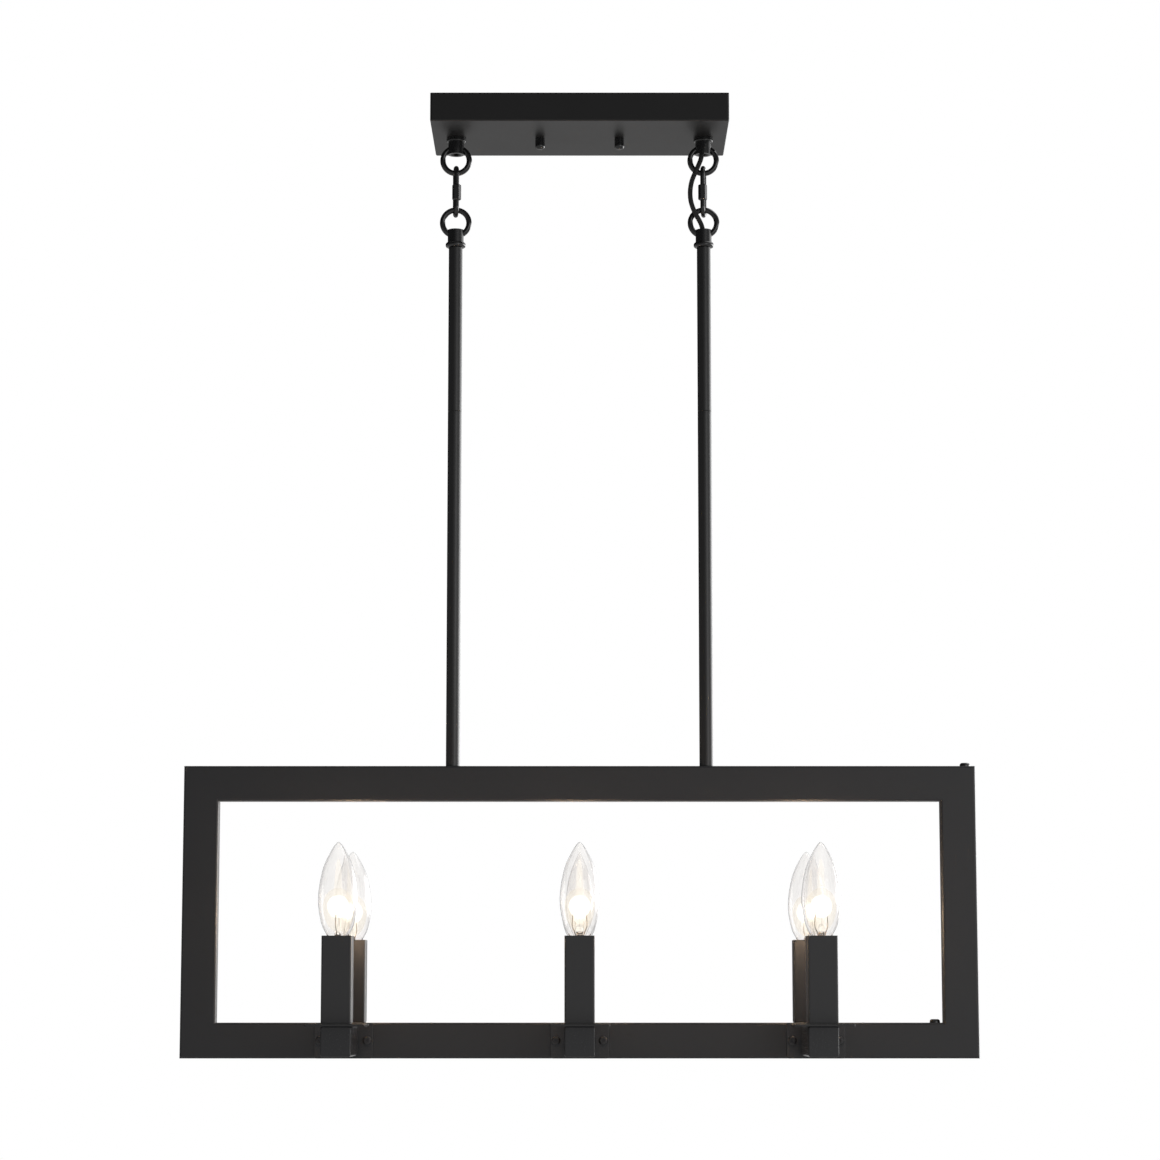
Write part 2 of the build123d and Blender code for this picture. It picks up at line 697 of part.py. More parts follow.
with BuildPart() as sleeve_seats:
    with BuildSketch(level(0, 0, drip_plate_top)):
        with Locations(*candle_places):
            Rectangle(seat_flange_width, seat_flange_width)
    extrude(amount=seat_flange_thickness)
    with BuildSketch(level(0, 0, sleeve_bottom)):
        with Locations(*candle_places):
            Rectangle(seat_width, seat_width)
    extrude(amount=seat_height)
    with BuildSketch(level(0, 0, drip_plate_top)):
        with Locations(*candle_places):
            Circle(thread_hole / 2)
    extrude(amount=seat_flange_thickness + seat_height, mode=Mode.SUBTRACT)
sleeve_seats.part.label = "sleeve_seats"
export_step(sleeve_seats.part, "parts/sleeve_seats.step")

with BuildPart() as candle_nipples:
    with BuildSketch(level(0, 0, nipple_bottom)):
        with Locations(*candle_places):
            Circle(thread_diameter / 2)
            Circle(candle_nipple_bore / 2, mode=Mode.SUBTRACT)
    extrude(amount=candle_nipple_length)
candle_nipples.part.label = "candle_nipples"
export_step(candle_nipples.part, "parts/candle_nipples.step")

nut_stacks = {
    frame_top - tube_wall - hex_nut_height: rod_places,
    arm_top - arm_wall - hex_nut_height: candle_places,
    seat_top: candle_places,
}
with BuildPart() as nipple_nuts:
    for nut_z, nut_places in nut_stacks.items():
        with BuildSketch(level(0, 0, nut_z)):
            with Locations(*nut_places):
                RegularPolygon(hexagon_radius(hex_nut_width), 6)
        extrude(amount=hex_nut_height)
    chamfer(nipple_nuts.faces().filter_by(Axis.Z).edges(), hex_nut_chamfer)
    for nut_z, nut_places in nut_stacks.items():
        with BuildSketch(level(0, 0, nut_z)):
            with Locations(*nut_places):
                Circle(rod_bore / 2)
        extrude(amount=hex_nut_height, mode=Mode.SUBTRACT)
nipple_nuts.part.label = "nipple_nuts"
export_step(nipple_nuts.part, "parts/nipple_nuts.step")

with BuildPart() as sockets:
    with BuildSketch(level(0, 0, socket_bottom)):
        with Locations(*candle_places):
            Circle(socket_neck_diameter / 2)
    extrude(amount=socket_neck_length)
    with BuildSketch(level(0, 0, socket_bottom + socket_neck_length)):
        with Locations(*candle_places):
            Circle(socket_diameter / 2)
    extrude(amount=socket_length - socket_neck_length)
    with BuildSketch(level(0, 0, socket_bottom)):
        with Locations(*candle_places):
            Circle(rod_bore / 2)
    extrude(amount=socket_nipple_depth, mode=Mode.SUBTRACT)
    with BuildSketch(level(0, 0, socket_rim)):
        with Locations(*candle_places):
            Circle(lamp_base_diameter / 2 + lamp_clearance)
    extrude(amount=-socket_bore_depth, mode=Mode.SUBTRACT)
sockets.part.label = "sockets"
export_step(sockets.part, "parts/sockets.step")

for row, direction in rows.items():
    for column, candle_x in columns.items():
        candle_y = direction * candle_reach
        with BuildPart() as sleeve:
            with BuildSketch(level(candle_x, candle_y, sleeve_bottom)):
                RectangleRounded(sleeve_width, sleeve_width, sleeve_corner_radius)
                RectangleRounded(
                    sleeve_width - 2 * sleeve_wall,
                    sleeve_width - 2 * sleeve_wall,
                    sleeve_corner_radius - sleeve_wall,
                    mode=Mode.SUBTRACT,
                )
            extrude(amount=sleeve_length)
        sleeve.part.label = f"{row}_{column}_sleeve"
        export_step(sleeve.part, f"parts/{row}_{column}_sleeve.step")

        lamp_plane = Plane(origin=(candle_x, candle_y, 0), x_dir=(1, 0, 0), z_dir=(0, -1, 0))
        lamp_axis = Axis((candle_x, candle_y, 0), (0, 0, 1))
        with BuildPart() as lamp_base:
            with BuildSketch(lamp_plane):
                with BuildLine():
                    base_radius = lamp_base_diameter / 2
                    shell_bottom = lamp_bottom + lamp_contact_height + lamp_insulator_height
                    thread_points = [(base_radius, shell_bottom + lamp_thread_start)]
                    for turn in range(lamp_thread_turns):
                        crest_z = shell_bottom + lamp_thread_start + turn * lamp_thread_pitch
                        thread_points.append((base_radius - lamp_thread_depth, crest_z + lamp_thread_pitch / 2))
                        thread_points.append((base_radius, crest_z + lamp_thread_pitch))
                    Polyline(
                        (0, lamp_bottom),
                        (lamp_contact_diameter / 2, lamp_bottom),
                        (lamp_contact_diameter / 2, lamp_bottom + lamp_contact_height),
                        (lamp_insulator_diameter / 2, lamp_bottom + lamp_contact_height),
                        (base_radius, shell_bottom),
                        *thread_points,
                        (base_radius, lamp_neck_z),
                        (lamp_base_bore / 2, lamp_neck_z),
                        (lamp_base_bore / 2, lamp_neck_z - lamp_base_bore_depth),
                        (0, lamp_neck_z - lamp_base_bore_depth),
                        close=True,
                    )
                make_face()
            revolve(axis=lamp_axis)
        lamp_base.part.label = f"{row}_{column}_lamp_base"
        export_step(lamp_base.part, f"parts/{row}_{column}_lamp_base.step")

        with BuildPart() as lamp_glass:
            for inset, mode in ((0.0, Mode.ADD), (lamp_glass_wall, Mode.SUBTRACT)):
                with BuildSketch(lamp_plane):
                    with BuildLine():
                        neck = (lamp_base_diameter / 2 - inset, lamp_neck_z)
                        tip = (0, sleeve_top + lamp_tip_height - inset)
                        Spline(
                            neck,
                            (lamp_rim_radius - inset, sleeve_top),
                            (lamp_cheek_radius - inset, sleeve_top + lamp_cheek_height),
                            (lamp_belly_radius - inset, sleeve_top + lamp_belly_height),
                            (lamp_shoulder_radius - inset, sleeve_top + lamp_shoulder_height),
                            (lamp_crown_radius - inset, sleeve_top + lamp_crown_height),
                            tip,
                            tangents=((tan(radians(lamp_neck_slope)), 1), (-1, 0)),
                        )
                        Polyline(tip, (0, lamp_neck_z), neck)
                    make_face()
                revolve(axis=lamp_axis, mode=mode)
        lamp_glass.part.label = f"{row}_{column}_lamp_glass"
        export_step(lamp_glass.part, f"parts/{row}_{column}_lamp_glass.step")

# ---------------------------------------------------------------- cable and leads

supply_points = [(rod_spacing / 2 + x, y, canopy_underside - drop) for x, y, drop in supply_route]
supply_radii = arc_radii(supply_points)
print("supply cable radii:", [round(radius, 1) for radius in supply_radii])
with BuildPart() as supply_cable:
    with BuildLine() as supply_line:
        FilletPolyline(*supply_points, radius=supply_radii)
    with BuildSketch(Plane(supply_line.line @ 0, z_dir=supply_line.line % 0)):
        Circle(cable_diameter / 2)
    sweep()
supply_cable.part.label = "supply_cable"
export_step(supply_cable.part, "parts/supply_cable.step")
supply_volume = supply_line.wire().length * pi * cable_diameter**2 / 4
print("supply cable length:", round(supply_line.wire().length, 1))
print("supply cable volume over section times length:", round(supply_cable.part.volume / supply_volume, 4))

with BuildPart() as canopy_leads:
    with BuildLine() as canopy_line:
        FilletPolyline(
            (cable_x, cable_y, supply_top_z),
            (cable_x, cable_y, canopy_cable_z),
            (canopy_cable_end, cable_y, canopy_cable_z),
            radius=canopy_cable_radius,
        )
    with BuildSketch(Plane(canopy_line.line @ 0, z_dir=canopy_line.line % 0)):
        Circle(cable_diameter / 2)
    sweep()
    for nut_side in sides.values():
        conductor_y = cable_y + nut_side * conductor_pitch
        nut_y = nut_side * wire_nut_pitch / 2
        with BuildLine() as conductor_line:
            FilletPolyline(
                (canopy_cable_end, conductor_y, canopy_cable_z - conductor_pitch / 2),
                (conductor_bend_x, conductor_y, canopy_cable_z - conductor_pitch / 2),
                (wire_nut_mouth_x + conductor_fan, nut_y, wire_nut_z),
                (wire_nut_mouth_x - wire_nut_grip, nut_y, wire_nut_z),
                radius=conductor_radius,
            )
        with BuildSketch(Plane(conductor_line.line @ 0, z_dir=conductor_line.line % 0)):
            Circle(conductor_diameter / 2)
        sweep()
    with BuildLine() as ground_line:
        FilletPolyline(
            (canopy_cable_end, cable_y, canopy_cable_z + conductor_pitch),
            (conductor_bend_x, cable_y, canopy_cable_z + conductor_pitch),
            (crossbar_length / 2 + conductor_fan, ground_screw_y, ground_lead_z),
            (ground_screw_x + ground_screw_diameter / 2, ground_screw_y, ground_lead_z),
            radius=conductor_radius,
        )
    with BuildSketch(Plane(ground_line.line @ 0, z_dir=ground_line.line % 0)):
        Circle(conductor_diameter / 2)
    sweep()
canopy_leads.part.label = "canopy_leads"
export_step(canopy_leads.part, "parts/canopy_leads.step")

splice_centres = [candle_x + splice_offset for candle_x in reversed(columns.values())]
with BuildPart() as splice_blocks:
    for splice_x in splice_centres:
        with BuildSketch(level(splice_x, 0, frame_bottom + splice_bottom)):
            Rectangle(splice_length, splice_width)
        block = extrude(amount=splice_height)
        fillet(block.edges().filter_by(Axis.X), splice_edge_radius)
splice_blocks.part.label = "splice_blocks"
export_step(splice_blocks.part, "parts/splice_blocks.step")

with BuildPart() as frame_cable:
    with BuildLine() as frame_line:
        FilletPolyline(
            (cable_x, cable_y, supply_end_z),
            (cable_x, cable_y, frame_cable_top_z),
            (post_x, cable_y, frame_cable_top_z),
            (post_x, cable_y, frame_cable_bottom_z),
            (splice_centres[0] + splice_length / 2, cable_y, frame_cable_bottom_z),
            radius=[foot_cable_radius, frame_cable_radius, frame_cable_radius],
        )
    with BuildSketch(Plane(frame_line.line @ 0, z_dir=frame_line.line % 0)):
        Circle(cable_diameter / 2)
    sweep()
    for splice_x, next_splice_x in zip(splice_centres, splice_centres[1:]):
        with BuildSketch(Plane.YZ.offset(splice_x - splice_length / 2)):
            with Locations((cable_y, frame_cable_bottom_z)):
                Circle(cable_diameter / 2)
        extrude(amount=next_splice_x - splice_x + splice_length)
frame_cable.part.label = "frame_cable"
export_step(frame_cable.part, "parts/frame_cable.step")

with BuildPart() as candle_leads:
    for direction in rows.values():
        for candle_x in columns.values():
            for lead_side in sides.values():
                lead_shift = lead_side * lead_pitch / 2
                lead_y = direction * lead_row_offset
                rise_y = direction * (candle_reach - lead_shift)
                with BuildLine() as lead_line:
                    FilletPolyline(
                        (candle_x + splice_offset - splice_length / 2, lead_y, lead_z + lead_shift),
                        (candle_x, lead_y, lead_z + lead_shift),
                        (candle_x, rise_y, lead_z + lead_shift),
                        (candle_x, rise_y, socket_bottom + socket_nipple_depth),
                        radius=[lead_exit_radius, lead_rise_radius],
                    )
                with BuildSketch(Plane(lead_line.line @ 0, z_dir=lead_line.line % 0)):
                    Circle(lead_diameter / 2)
                sweep()
candle_leads.part.label = "candle_leads"
export_step(candle_leads.part, "parts/candle_leads.step")
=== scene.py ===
"""Looks of a linear island pendant.

Satin black tube frame on looped rods, a box canopy and six lit torpedo lamps. The frame's solids
keep their shapes and get their finishes. The supply cable, the wire nuts and the lamps' envelopes
and insides are modelled here.
"""

import json
import logging
import math
from dataclasses import dataclass, field
from enum import Enum
from typing import Callable, Sequence

import bpy
from mathutils import Matrix, Vector

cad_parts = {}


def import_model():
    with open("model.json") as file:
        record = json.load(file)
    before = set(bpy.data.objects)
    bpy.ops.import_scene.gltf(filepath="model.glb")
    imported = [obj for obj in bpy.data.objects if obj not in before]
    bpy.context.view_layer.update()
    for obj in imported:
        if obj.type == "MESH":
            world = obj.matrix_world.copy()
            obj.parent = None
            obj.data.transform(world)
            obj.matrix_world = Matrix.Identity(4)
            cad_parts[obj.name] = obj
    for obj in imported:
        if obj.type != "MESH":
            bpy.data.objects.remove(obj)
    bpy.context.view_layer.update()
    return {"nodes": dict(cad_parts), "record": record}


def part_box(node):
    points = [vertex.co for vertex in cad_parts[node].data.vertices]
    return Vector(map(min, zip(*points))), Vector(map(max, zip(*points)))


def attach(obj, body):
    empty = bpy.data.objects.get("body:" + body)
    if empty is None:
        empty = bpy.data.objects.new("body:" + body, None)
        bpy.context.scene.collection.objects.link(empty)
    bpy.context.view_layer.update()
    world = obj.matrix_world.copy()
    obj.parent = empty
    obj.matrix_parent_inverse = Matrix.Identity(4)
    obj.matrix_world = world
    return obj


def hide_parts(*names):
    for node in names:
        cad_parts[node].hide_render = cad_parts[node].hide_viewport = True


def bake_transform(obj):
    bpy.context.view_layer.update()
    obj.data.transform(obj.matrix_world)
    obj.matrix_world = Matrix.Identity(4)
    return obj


log = logging.getLogger("pendant")
MM = 0.001
WELD_DISTANCE = 1e-6
WHITE = (1.0, 1.0, 1.0)
Piece = bpy.types.Object
Element = bpy.types.MeshVertex | bpy.types.MeshPolygon
Colour = tuple[float, float, float]
Point = tuple[float, float, float]
Course = Sequence[tuple[float, float]]


# ---------------------------------------------------------------- shader arithmetic


class Field:
    """A shader socket that takes part in ordinary arithmetic."""

    def __init__(self, tree: "ShaderTree", socket: bpy.types.NodeSocket) -> None:
        """Wraps a socket of this tree."""
        self.tree = tree
        self.socket = socket

    def _math(
        self, operation: str, first: "Field | float", second: "Field | float" = 0.0
    ) -> "Field":
        """Adds one Math node.

        Args:
            operation: the node's operation.
            first: upper operand.
            second: lower operand.

        Returns:
            The node's result.
        """
        node = self.tree.node("ShaderNodeMath", {"operation": operation}, {0: first, 1: second})
        return self.tree.out(node)

    def __add__(self, other: "Field | float") -> "Field":
        """Sum."""
        return self._math("ADD", self, other)

    def __sub__(self, other: "Field | float") -> "Field":
        """Difference."""
        return self._math("SUBTRACT", self, other)

    def __rsub__(self, other: float) -> "Field":
        """Difference with a plain number first."""
        return self._math("SUBTRACT", other, self)

    def __mul__(self, other: "Field | float") -> "Field":
        """Product."""
        return self._math("MULTIPLY", self, other)

    __radd__ = __add__
    __rmul__ = __mul__

    def at_least(self, low: float) -> "Field":
        """The value, but never below low."""
        return self._math("MAXIMUM", self, low)

    def at_most(self, high: float) -> "Field":
        """The value, but never above high."""
        return self._math("MINIMUM", self, high)

    def sine(self) -> "Field":
        """Sine of the value."""
        return self._math("SINE", self)

    def ease(self, low: float, high: float) -> "Field":
        """Smooth step.

        Args:
            low: value up to which the step is 0.
            high: value from which it is 1.

        Returns:
            The step.
        """
        settings = {"interpolation_type": "SMOOTHSTEP"}
        sockets = {"Value": self, "From Min": low, "From Max": high}
        return self.tree.out(self.tree.node("ShaderNodeMapRange", settings, sockets), "Result")


class ShaderTree:
    """Node tree of a material or of the world, cleared and rebuilt."""

    def __init__(self, owner: bpy.types.Material | bpy.types.World) -> None:
        """Clears the owner's nodes.

        Args:
            owner: the material or world.
        """
        owner.use_nodes = True
        self.nodes = owner.node_tree.nodes
        self.links = owner.node_tree.links
        self.nodes.clear()
        self._place: Field | None = None

    def node(
        self, kind: str, settings: dict | None = None, sockets: dict | None = None
    ) -> bpy.types.Node:
        """Adds a node.

        Args:
            kind: the node's type.
            settings: its properties, which are set first.
            sockets: a number, a colour or a Field for each input, by name or place.

        Returns:
            The new node.
        """
        made = self.nodes.new(kind)
        for name, value in (settings or {}).items():
            setattr(made, name, value)
        for key, value in (sockets or {}).items():
            if isinstance(value, Field):
                self.links.new(value.socket, made.inputs[key])
            else:
                made.inputs[key].default_value = value
        return made

    def out(self, node: bpy.types.Node, output: str | int = 0) -> Field:
        """One output of a node as a Field."""
        return Field(self, node.outputs[output])

    def place(self) -> Field:
        """Object coordinates in metres, from one node that the whole tree shares.

        Returns:
            The coordinates.
        """
        if self._place is None:
            self._place = self.out(self.node("ShaderNodeTexCoord"), "Object")
        return self._place

    def axes(self, vector: Field) -> tuple[Field, Field, Field]:
        """The three components of a vector."""
        node = self.node("ShaderNodeSeparateXYZ", sockets={0: vector})
        return self.out(node, 0), self.out(node, 1), self.out(node, 2)

    def noise(self, size: float, detail: float = 2.0, stretch: Point | None = None) -> Field:
        """Noise between 0 and 1 over the piece.

        Args:
            size: length of one grain, in metres.
            detail: octaves.
            stretch: factor on the coordinate along each axis; a small one draws the grain out.

        Returns:
            The noise value.
        """
        place = self.place()
        if stretch:
            sockets = {"Vector": place, "Scale": stretch}
            place = self.out(self.node("ShaderNodeMapping", sockets=sockets))
        sockets = {"Vector": place, "Scale": 1.0 / size, "Detail": detail}
        return self.out(self.node("ShaderNodeTexNoise", sockets=sockets))

    def blend(self, share: Field, first: "Field | Colour", second: Colour) -> Field:
        """Colour between two, by a share from 0 to 1.

        Args:
            share: how much of the second colour there is.
            first: a plain colour, or one that varies itself.
            second: a plain colour.

        Returns:
            The colour.
        """
        start = first if isinstance(first, Field) else (*first, 1.0)
        sockets = {0: share, 6: start, 7: (*second, 1.0)}
        return self.out(self.node("ShaderNodeMix", {"data_type": "RGBA"}, sockets), 2)

    def bump(self, height: Field, depth: float) -> Field:
        """Normal that a height between 0 and 1 raises by depth metres."""
        return self.out(self.node("ShaderNodeBump", sockets={"Height": height, "Distance": depth}))

    def close(self, shader: Field, kind: str = "ShaderNodeOutputMaterial") -> None:
        """Wires a shader to the tree's output, a node of this kind."""
        self.node(kind, sockets={"Surface": shader})

    def surface(self, sockets: dict) -> None:
        """Adds the principled shader with these sockets, wired to the output."""
        self.close(self.out(self.node("ShaderNodeBsdfPrincipled", sockets=sockets)))


def shade(colour: Colour, factor: float, lift: float = 0.0) -> Colour:
    """A colour times a factor, plus a lift, at most white."""
    return tuple(min(1.0, factor * part + lift) for part in colour)


# ---------------------------------------------------------------- finishes


@dataclass(frozen=True)
class Finish:
    """A surface finish, made once as a material and shared by its pieces."""

    name: str

    def paint(self, tree: ShaderTree) -> None:
        """Adds the finish's nodes to the material's tree."""
        raise NotImplementedError

    def material(self) -> bpy.types.Material:
        """The finish's material, made on its first use.

        Returns:
            The material.
        """
        made = bpy.data.materials.get(self.name)
        if made is None:
            made = bpy.data.materials.new(self.name)
            self.paint(ShaderTree(made))
        return made

    def dress(self, piece: Piece) -> None:
        """Puts the finish on every slot of a piece.

        Args:
            piece: the piece, with or without slots.
        """
        if not piece.data.materials:
            piece.data.materials.append(None)
        for slot in piece.material_slots:
            slot.material = self.material()


@dataclass(frozen=True)
class Layer:
    """One pattern of noise on a finish, and what it adds where it is strongest.

    Attributes:
        size, detail, stretch: the noise, as ShaderTree.noise takes it.
        band: where a smooth step cuts the noise into spots, if it does.
        tone: share of the finish's second colour.
        dull, metal, coat: roughness, metallic and coat weight.
        relief: share of the finish's depth.
    """

    size: float
    detail: float
    stretch: Point | None = None
    band: tuple[float, float] | None = None
    tone: float = 0.0
    dull: float = 0.0
    metal: float = 0.0
    coat: float = 0.0
    relief: float = 0.0

    def field(self, tree: ShaderTree) -> Field:
        """The pattern's value, between 0 and 1."""
        noise = tree.noise(self.size, self.detail, self.stretch)
        return noise.ease(*self.band) if self.band else noise


@dataclass(frozen=True)
class Layered(Finish):
    """Opaque finish with patterns in its colour, gloss and relief.

    Attributes:
        colour: base colour.
        second: colour that the layers' tones lead to.
        shine: lowest roughness.
        layers: the patterns.
        depth: depth of the relief, in metres.
        metallic, specular, coat: the shader's own values, before the layers add to them.
    """

    colour: Colour
    second: Colour
    shine: float
    layers: tuple[Layer, ...]
    depth: float = 0.0
    metallic: float = 0.0
    specular: float = 0.5
    coat: float = 0.0

    def paint(self, tree: ShaderTree) -> None:
        """Adds the layers and the shader that they feed.

        Args:
            tree: the material's nodes.
        """
        fields = [layer.field(tree) for layer in self.layers]

        def total(start: float, effect: str) -> Field | float:
            """A start value plus what every layer adds to it.

            Args:
                start: value without the layers.
                effect: name of the layers' attribute that counts.

            Returns:
                The sum, which stays a number where no layer counts.
            """
            result = start
            for value, layer in zip(fields, self.layers):
                if getattr(layer, effect):
                    result = value * getattr(layer, effect) + result
            return result

        sockets = {
            "Base Color": tree.blend(total(0.0, "tone"), self.colour, self.second),
            "Roughness": total(self.shine, "dull"),
            "Metallic": total(self.metallic, "metal"),
            "Coat Weight": total(self.coat, "coat"),
            "Specular IOR Level": self.specular,
        }
        if self.depth:
            sockets["Normal"] = tree.bump(total(0.0, "relief"), self.depth)
        tree.surface(sockets)


def powder_coat(
    name: str, colour: Colour, shine: float, peel: float = 1.6 * MM, specular: float = 0.5
) -> Layered:
    """Satin black powder coat with slow drift, orange peel, fine grit and specks of dust.

    Args:
        name: the material's name.
        colour: base colour.
        shine: lowest roughness.
        peel: size of one orange peel dimple, in metres.
        specular: strength of its reflections.

    Returns:
        The finish.
    """
    layers = (
        Layer(60 * MM, 3.0, tone=0.7, dull=0.06),
        Layer(peel, 2.0, relief=0.8),
        Layer(0.25 * MM, 1.0, dull=0.05, relief=0.2),
        Layer(0.7 * MM, 0.0, band=(0.70, 0.78), tone=0.3, dull=0.08),
    )
    lighter = shade(colour, 1.35, 0.001)
    return Layered(name, colour, lighter, shine, layers, 0.012 * MM, specular=specular)


def cast_paint(name: str, colour: Colour, shine: float) -> Layered:
    """Glossier black paint on cast and turned hardware, with sags and a soft cast texture."""
    layers = (
        Layer(5 * MM, 3.0, tone=1.0, dull=0.10, relief=0.3),
        Layer(0.9 * MM, 3.0, coat=0.2, relief=0.7),
        Layer(0.18 * MM, 1.0, dull=0.04),
    )
    return Layered(name, colour, shade(colour, 1.5), shine, layers, 0.03 * MM, coat=0.15)


def moulded(name: str, colour: Colour, shine: float) -> Layered:
    """Moulded plastic with flow marks in its colour and a fine spark-eroded grain."""
    layers = (
        Layer(6 * MM, 3.0, (1.0, 1.0, 0.3), tone=1.0),
        Layer(0.4 * MM, 2.0, dull=0.12, relief=1.0),
    )
    return Layered(name, colour, shade(colour, 0.75), shine, layers, 0.015 * MM)


def jacket(name: str, colour: Colour, shine: float) -> Layered:
    """Extruded jacket of a cable or lead, with draw lines, a dull bloom and small scuffs."""
    layers = (
        Layer(0.5 * MM, 2.0, (1.0, 1.0, 0.04), relief=1.0),
        Layer(9 * MM, 3.0, tone=0.6, dull=0.12),
        Layer(1.4 * MM, 4.0, band=(0.62, 0.75), tone=0.4, dull=0.15),
    )
    return Layered(name, colour, shade(colour, 2.0), shine, layers, 0.02 * MM)


BLACK_OXIDE = (
    Layer(3 * MM, 3.0, dull=0.12, metal=-0.2),
    Layer(0.8 * MM, 3.0, band=(0.55, 0.7), tone=0.6, dull=0.06, relief=1.0),
)
ZINC_PLATE = (
    Layer(3 * MM, 3.0, dull=0.14),
    Layer(0.35 * MM, 2.0, (0.05, 0.05, 1.0), dull=0.08, relief=1.0),
    Layer(7 * MM, 4.0, band=(0.58, 0.75), tone=1.0, metal=-0.35),
)
HEAT_STAIN = (Layer(2.2 * MM, 2.0, tone=1.0, dull=0.2),)


@dataclass(frozen=True)
class Conductors(Finish):
    """Jackets of the cable and its three conductors in the canopy, told apart by their place.

    Attributes:
        jacket, live, neutral, ground: colours of the cable, and of its front, rear and highest
            conductor.
        jacket_end: where the cable's jacket stops, along the canopy.
        middle: where front and rear conductors part, across the canopy.
        ground_level: height that only the ground conductor runs above.
        sharp: half the width over which one colour changes to the next.
        draw, draw_depth: distance between draw lines, and their depth.
        bloom: size of one dull patch.
    """

    jacket: Colour = (0.012, 0.012, 0.012)
    live: Colour = (0.020, 0.019, 0.019)
    neutral: Colour = (0.72, 0.70, 0.66)
    ground: Colour = (0.025, 0.20, 0.055)
    jacket_end: float = 94.0 * MM
    middle: float = -0.7 * MM
    ground_level: float = -6.8 * MM
    sharp: float = 0.1 * MM
    draw: float = 0.5 * MM
    draw_depth: float = 0.02 * MM
    bloom: float = 7 * MM

    def past(self, coordinate: Field, limit: float) -> Field:
        """1 past a limit along one axis, 0 before it."""
        return coordinate.ease(limit - self.sharp, limit + self.sharp)

    def paint(self, tree: ShaderTree) -> None:
        """Adds the jackets' colours, draw lines and a dull bloom.

        Args:
            tree: the material's nodes.
        """
        x, y, z = tree.axes(tree.place())
        draw = tree.noise(self.draw, 2.0, (0.04, 1.0, 1.0))
        bloom = tree.noise(self.bloom, 3.0)
        pair = tree.blend(self.past(y, self.middle), self.live, self.neutral)
        all_three = tree.blend(self.past(z, self.ground_level), pair, self.ground)
        tree.surface(
            {
                "Base Color": tree.blend(self.past(x, self.jacket_end), all_three, self.jacket),
                "Roughness": 0.30 + bloom * 0.14,
                "Normal": tree.bump(draw, self.draw_depth),
            }
        )


@dataclass(frozen=True)
class LampShell(Finish):
    """Nickel plated screw shell of a lamp, with painted shade in the troughs between its threads
    and a painted highlight on each crest.

    Attributes:
        pitch, depth: distance from thread to thread, and their depth.
        mark: size of one handling mark.
    """

    colour: Colour = (0.63, 0.60, 0.55)
    pitch: float = 2.5 * MM
    depth: float = 0.12 * MM
    mark: float = 1.8 * MM

    def paint(self, tree: ShaderTree) -> None:
        """Adds the threads' relief, their painted shade and highlights, and the handling marks.

        Args:
            tree: the material's nodes.
        """
        height = tree.axes(tree.place())[2]
        crest = (height * (2 * math.pi / self.pitch)).sine() * 0.5 + 0.5
        mark = tree.noise(self.mark, 4.0)
        tree.surface(
            {
                # Painted shade and highlight: the base colour is darker in the troughs between the
                # threads and lighter on their crests.
                "Base Color": tree.blend(crest, shade(self.colour, 0.7), self.colour),
                "Metallic": 1.0,
                "Roughness": 0.18 + mark * 0.18,
                "Normal": tree.bump(crest * 0.7 + mark * 0.1, self.depth),
            }
        )


@dataclass(frozen=True)
class ClearGlass(Finish):
    """Blown clear glass, with painted shade where it is seen edge on, draw streaks and slow
    ripples.

    Attributes:
        tint, edge: colours that a wall seen square on and seen edge on lends to what is behind. A
        little of the edge colour is the longer path through the wall; the rest is painted shade
        along the glass's outline.
        ripple, ripple_depth: width of one draw streak, and its depth.
        haze: size of one hazy patch.
        refraction: the glass's refractive index.
    """

    tint: Colour = (0.990, 0.982, 0.974)
    edge: Colour = (0.925, 0.908, 0.898)
    ripple: float = 3.0 * MM
    ripple_depth: float = 0.004 * MM
    haze: float = 2.5 * MM
    refraction: float = 1.48

    def paint(self, tree: ShaderTree) -> None:
        """Adds clear transmission, painted shade along the outline, draw streaks along the axis
        and a trace of haze.

        Args:
            tree: the material's nodes.
        """
        ripple = tree.noise(self.ripple, 1.0, (1.0, 1.0, 0.08))
        haze = tree.noise(self.haze, 3.0)
        glance = tree.out(tree.node("ShaderNodeLayerWeight", sockets={"Blend": 0.4}), "Facing")
        # Painted shade: the colour darkens where the glass is seen edge on, and a little along the
        # draw streaks; only a small part of it is the longer path through the wall.
        edge_shade_share = glance.ease(0.15, 0.9) * 0.75 + ripple.ease(0.35, 0.7) * 0.3
        tree.surface(
            {
                "Base Color": tree.blend(edge_shade_share.at_most(1.0), self.tint, self.edge),
                "Roughness": 0.004 + haze * 0.02,
                "IOR": self.refraction,
                "Transmission Weight": 1.0,
                "Normal": tree.bump(ripple, self.ripple_depth),
            }
        )


@dataclass(frozen=True)
class Glow(Finish):
    """Light around a hot wire: a see-through warm veil, or the wire itself.

    Attributes:
        colour, strength: colour and brightness of the light.
        cover: how much it hides what is behind.
        flicker: size of one uneven spot.
    """

    colour: Colour = (1.0, 0.86, 0.62)
    strength: float = 1.0
    cover: float = 1.0
    flicker: float = 1.2 * MM

    def paint(self, tree: ShaderTree) -> None:
        """Adds the light, a little uneven from spot to spot.

        Args:
            tree: the material's nodes.
        """
        flicker = tree.noise(self.flicker, 1.0)
        tree.surface(
            {
                "Base Color": (0.0, 0.0, 0.0, 1.0),
                "Specular IOR Level": 0.0,
                "Roughness": 1.0,
                "Emission Color": tree.blend(flicker, self.colour, shade(self.colour, 0.95)),
                "Emission Strength": self.strength,
                "Alpha": self.cover,
            }
        )


# ---------------------------------------------------------------- modelling helpers


def mode(name: str) -> None:
    """Goes to EDIT or OBJECT mode."""
    bpy.ops.object.mode_set(mode=name)


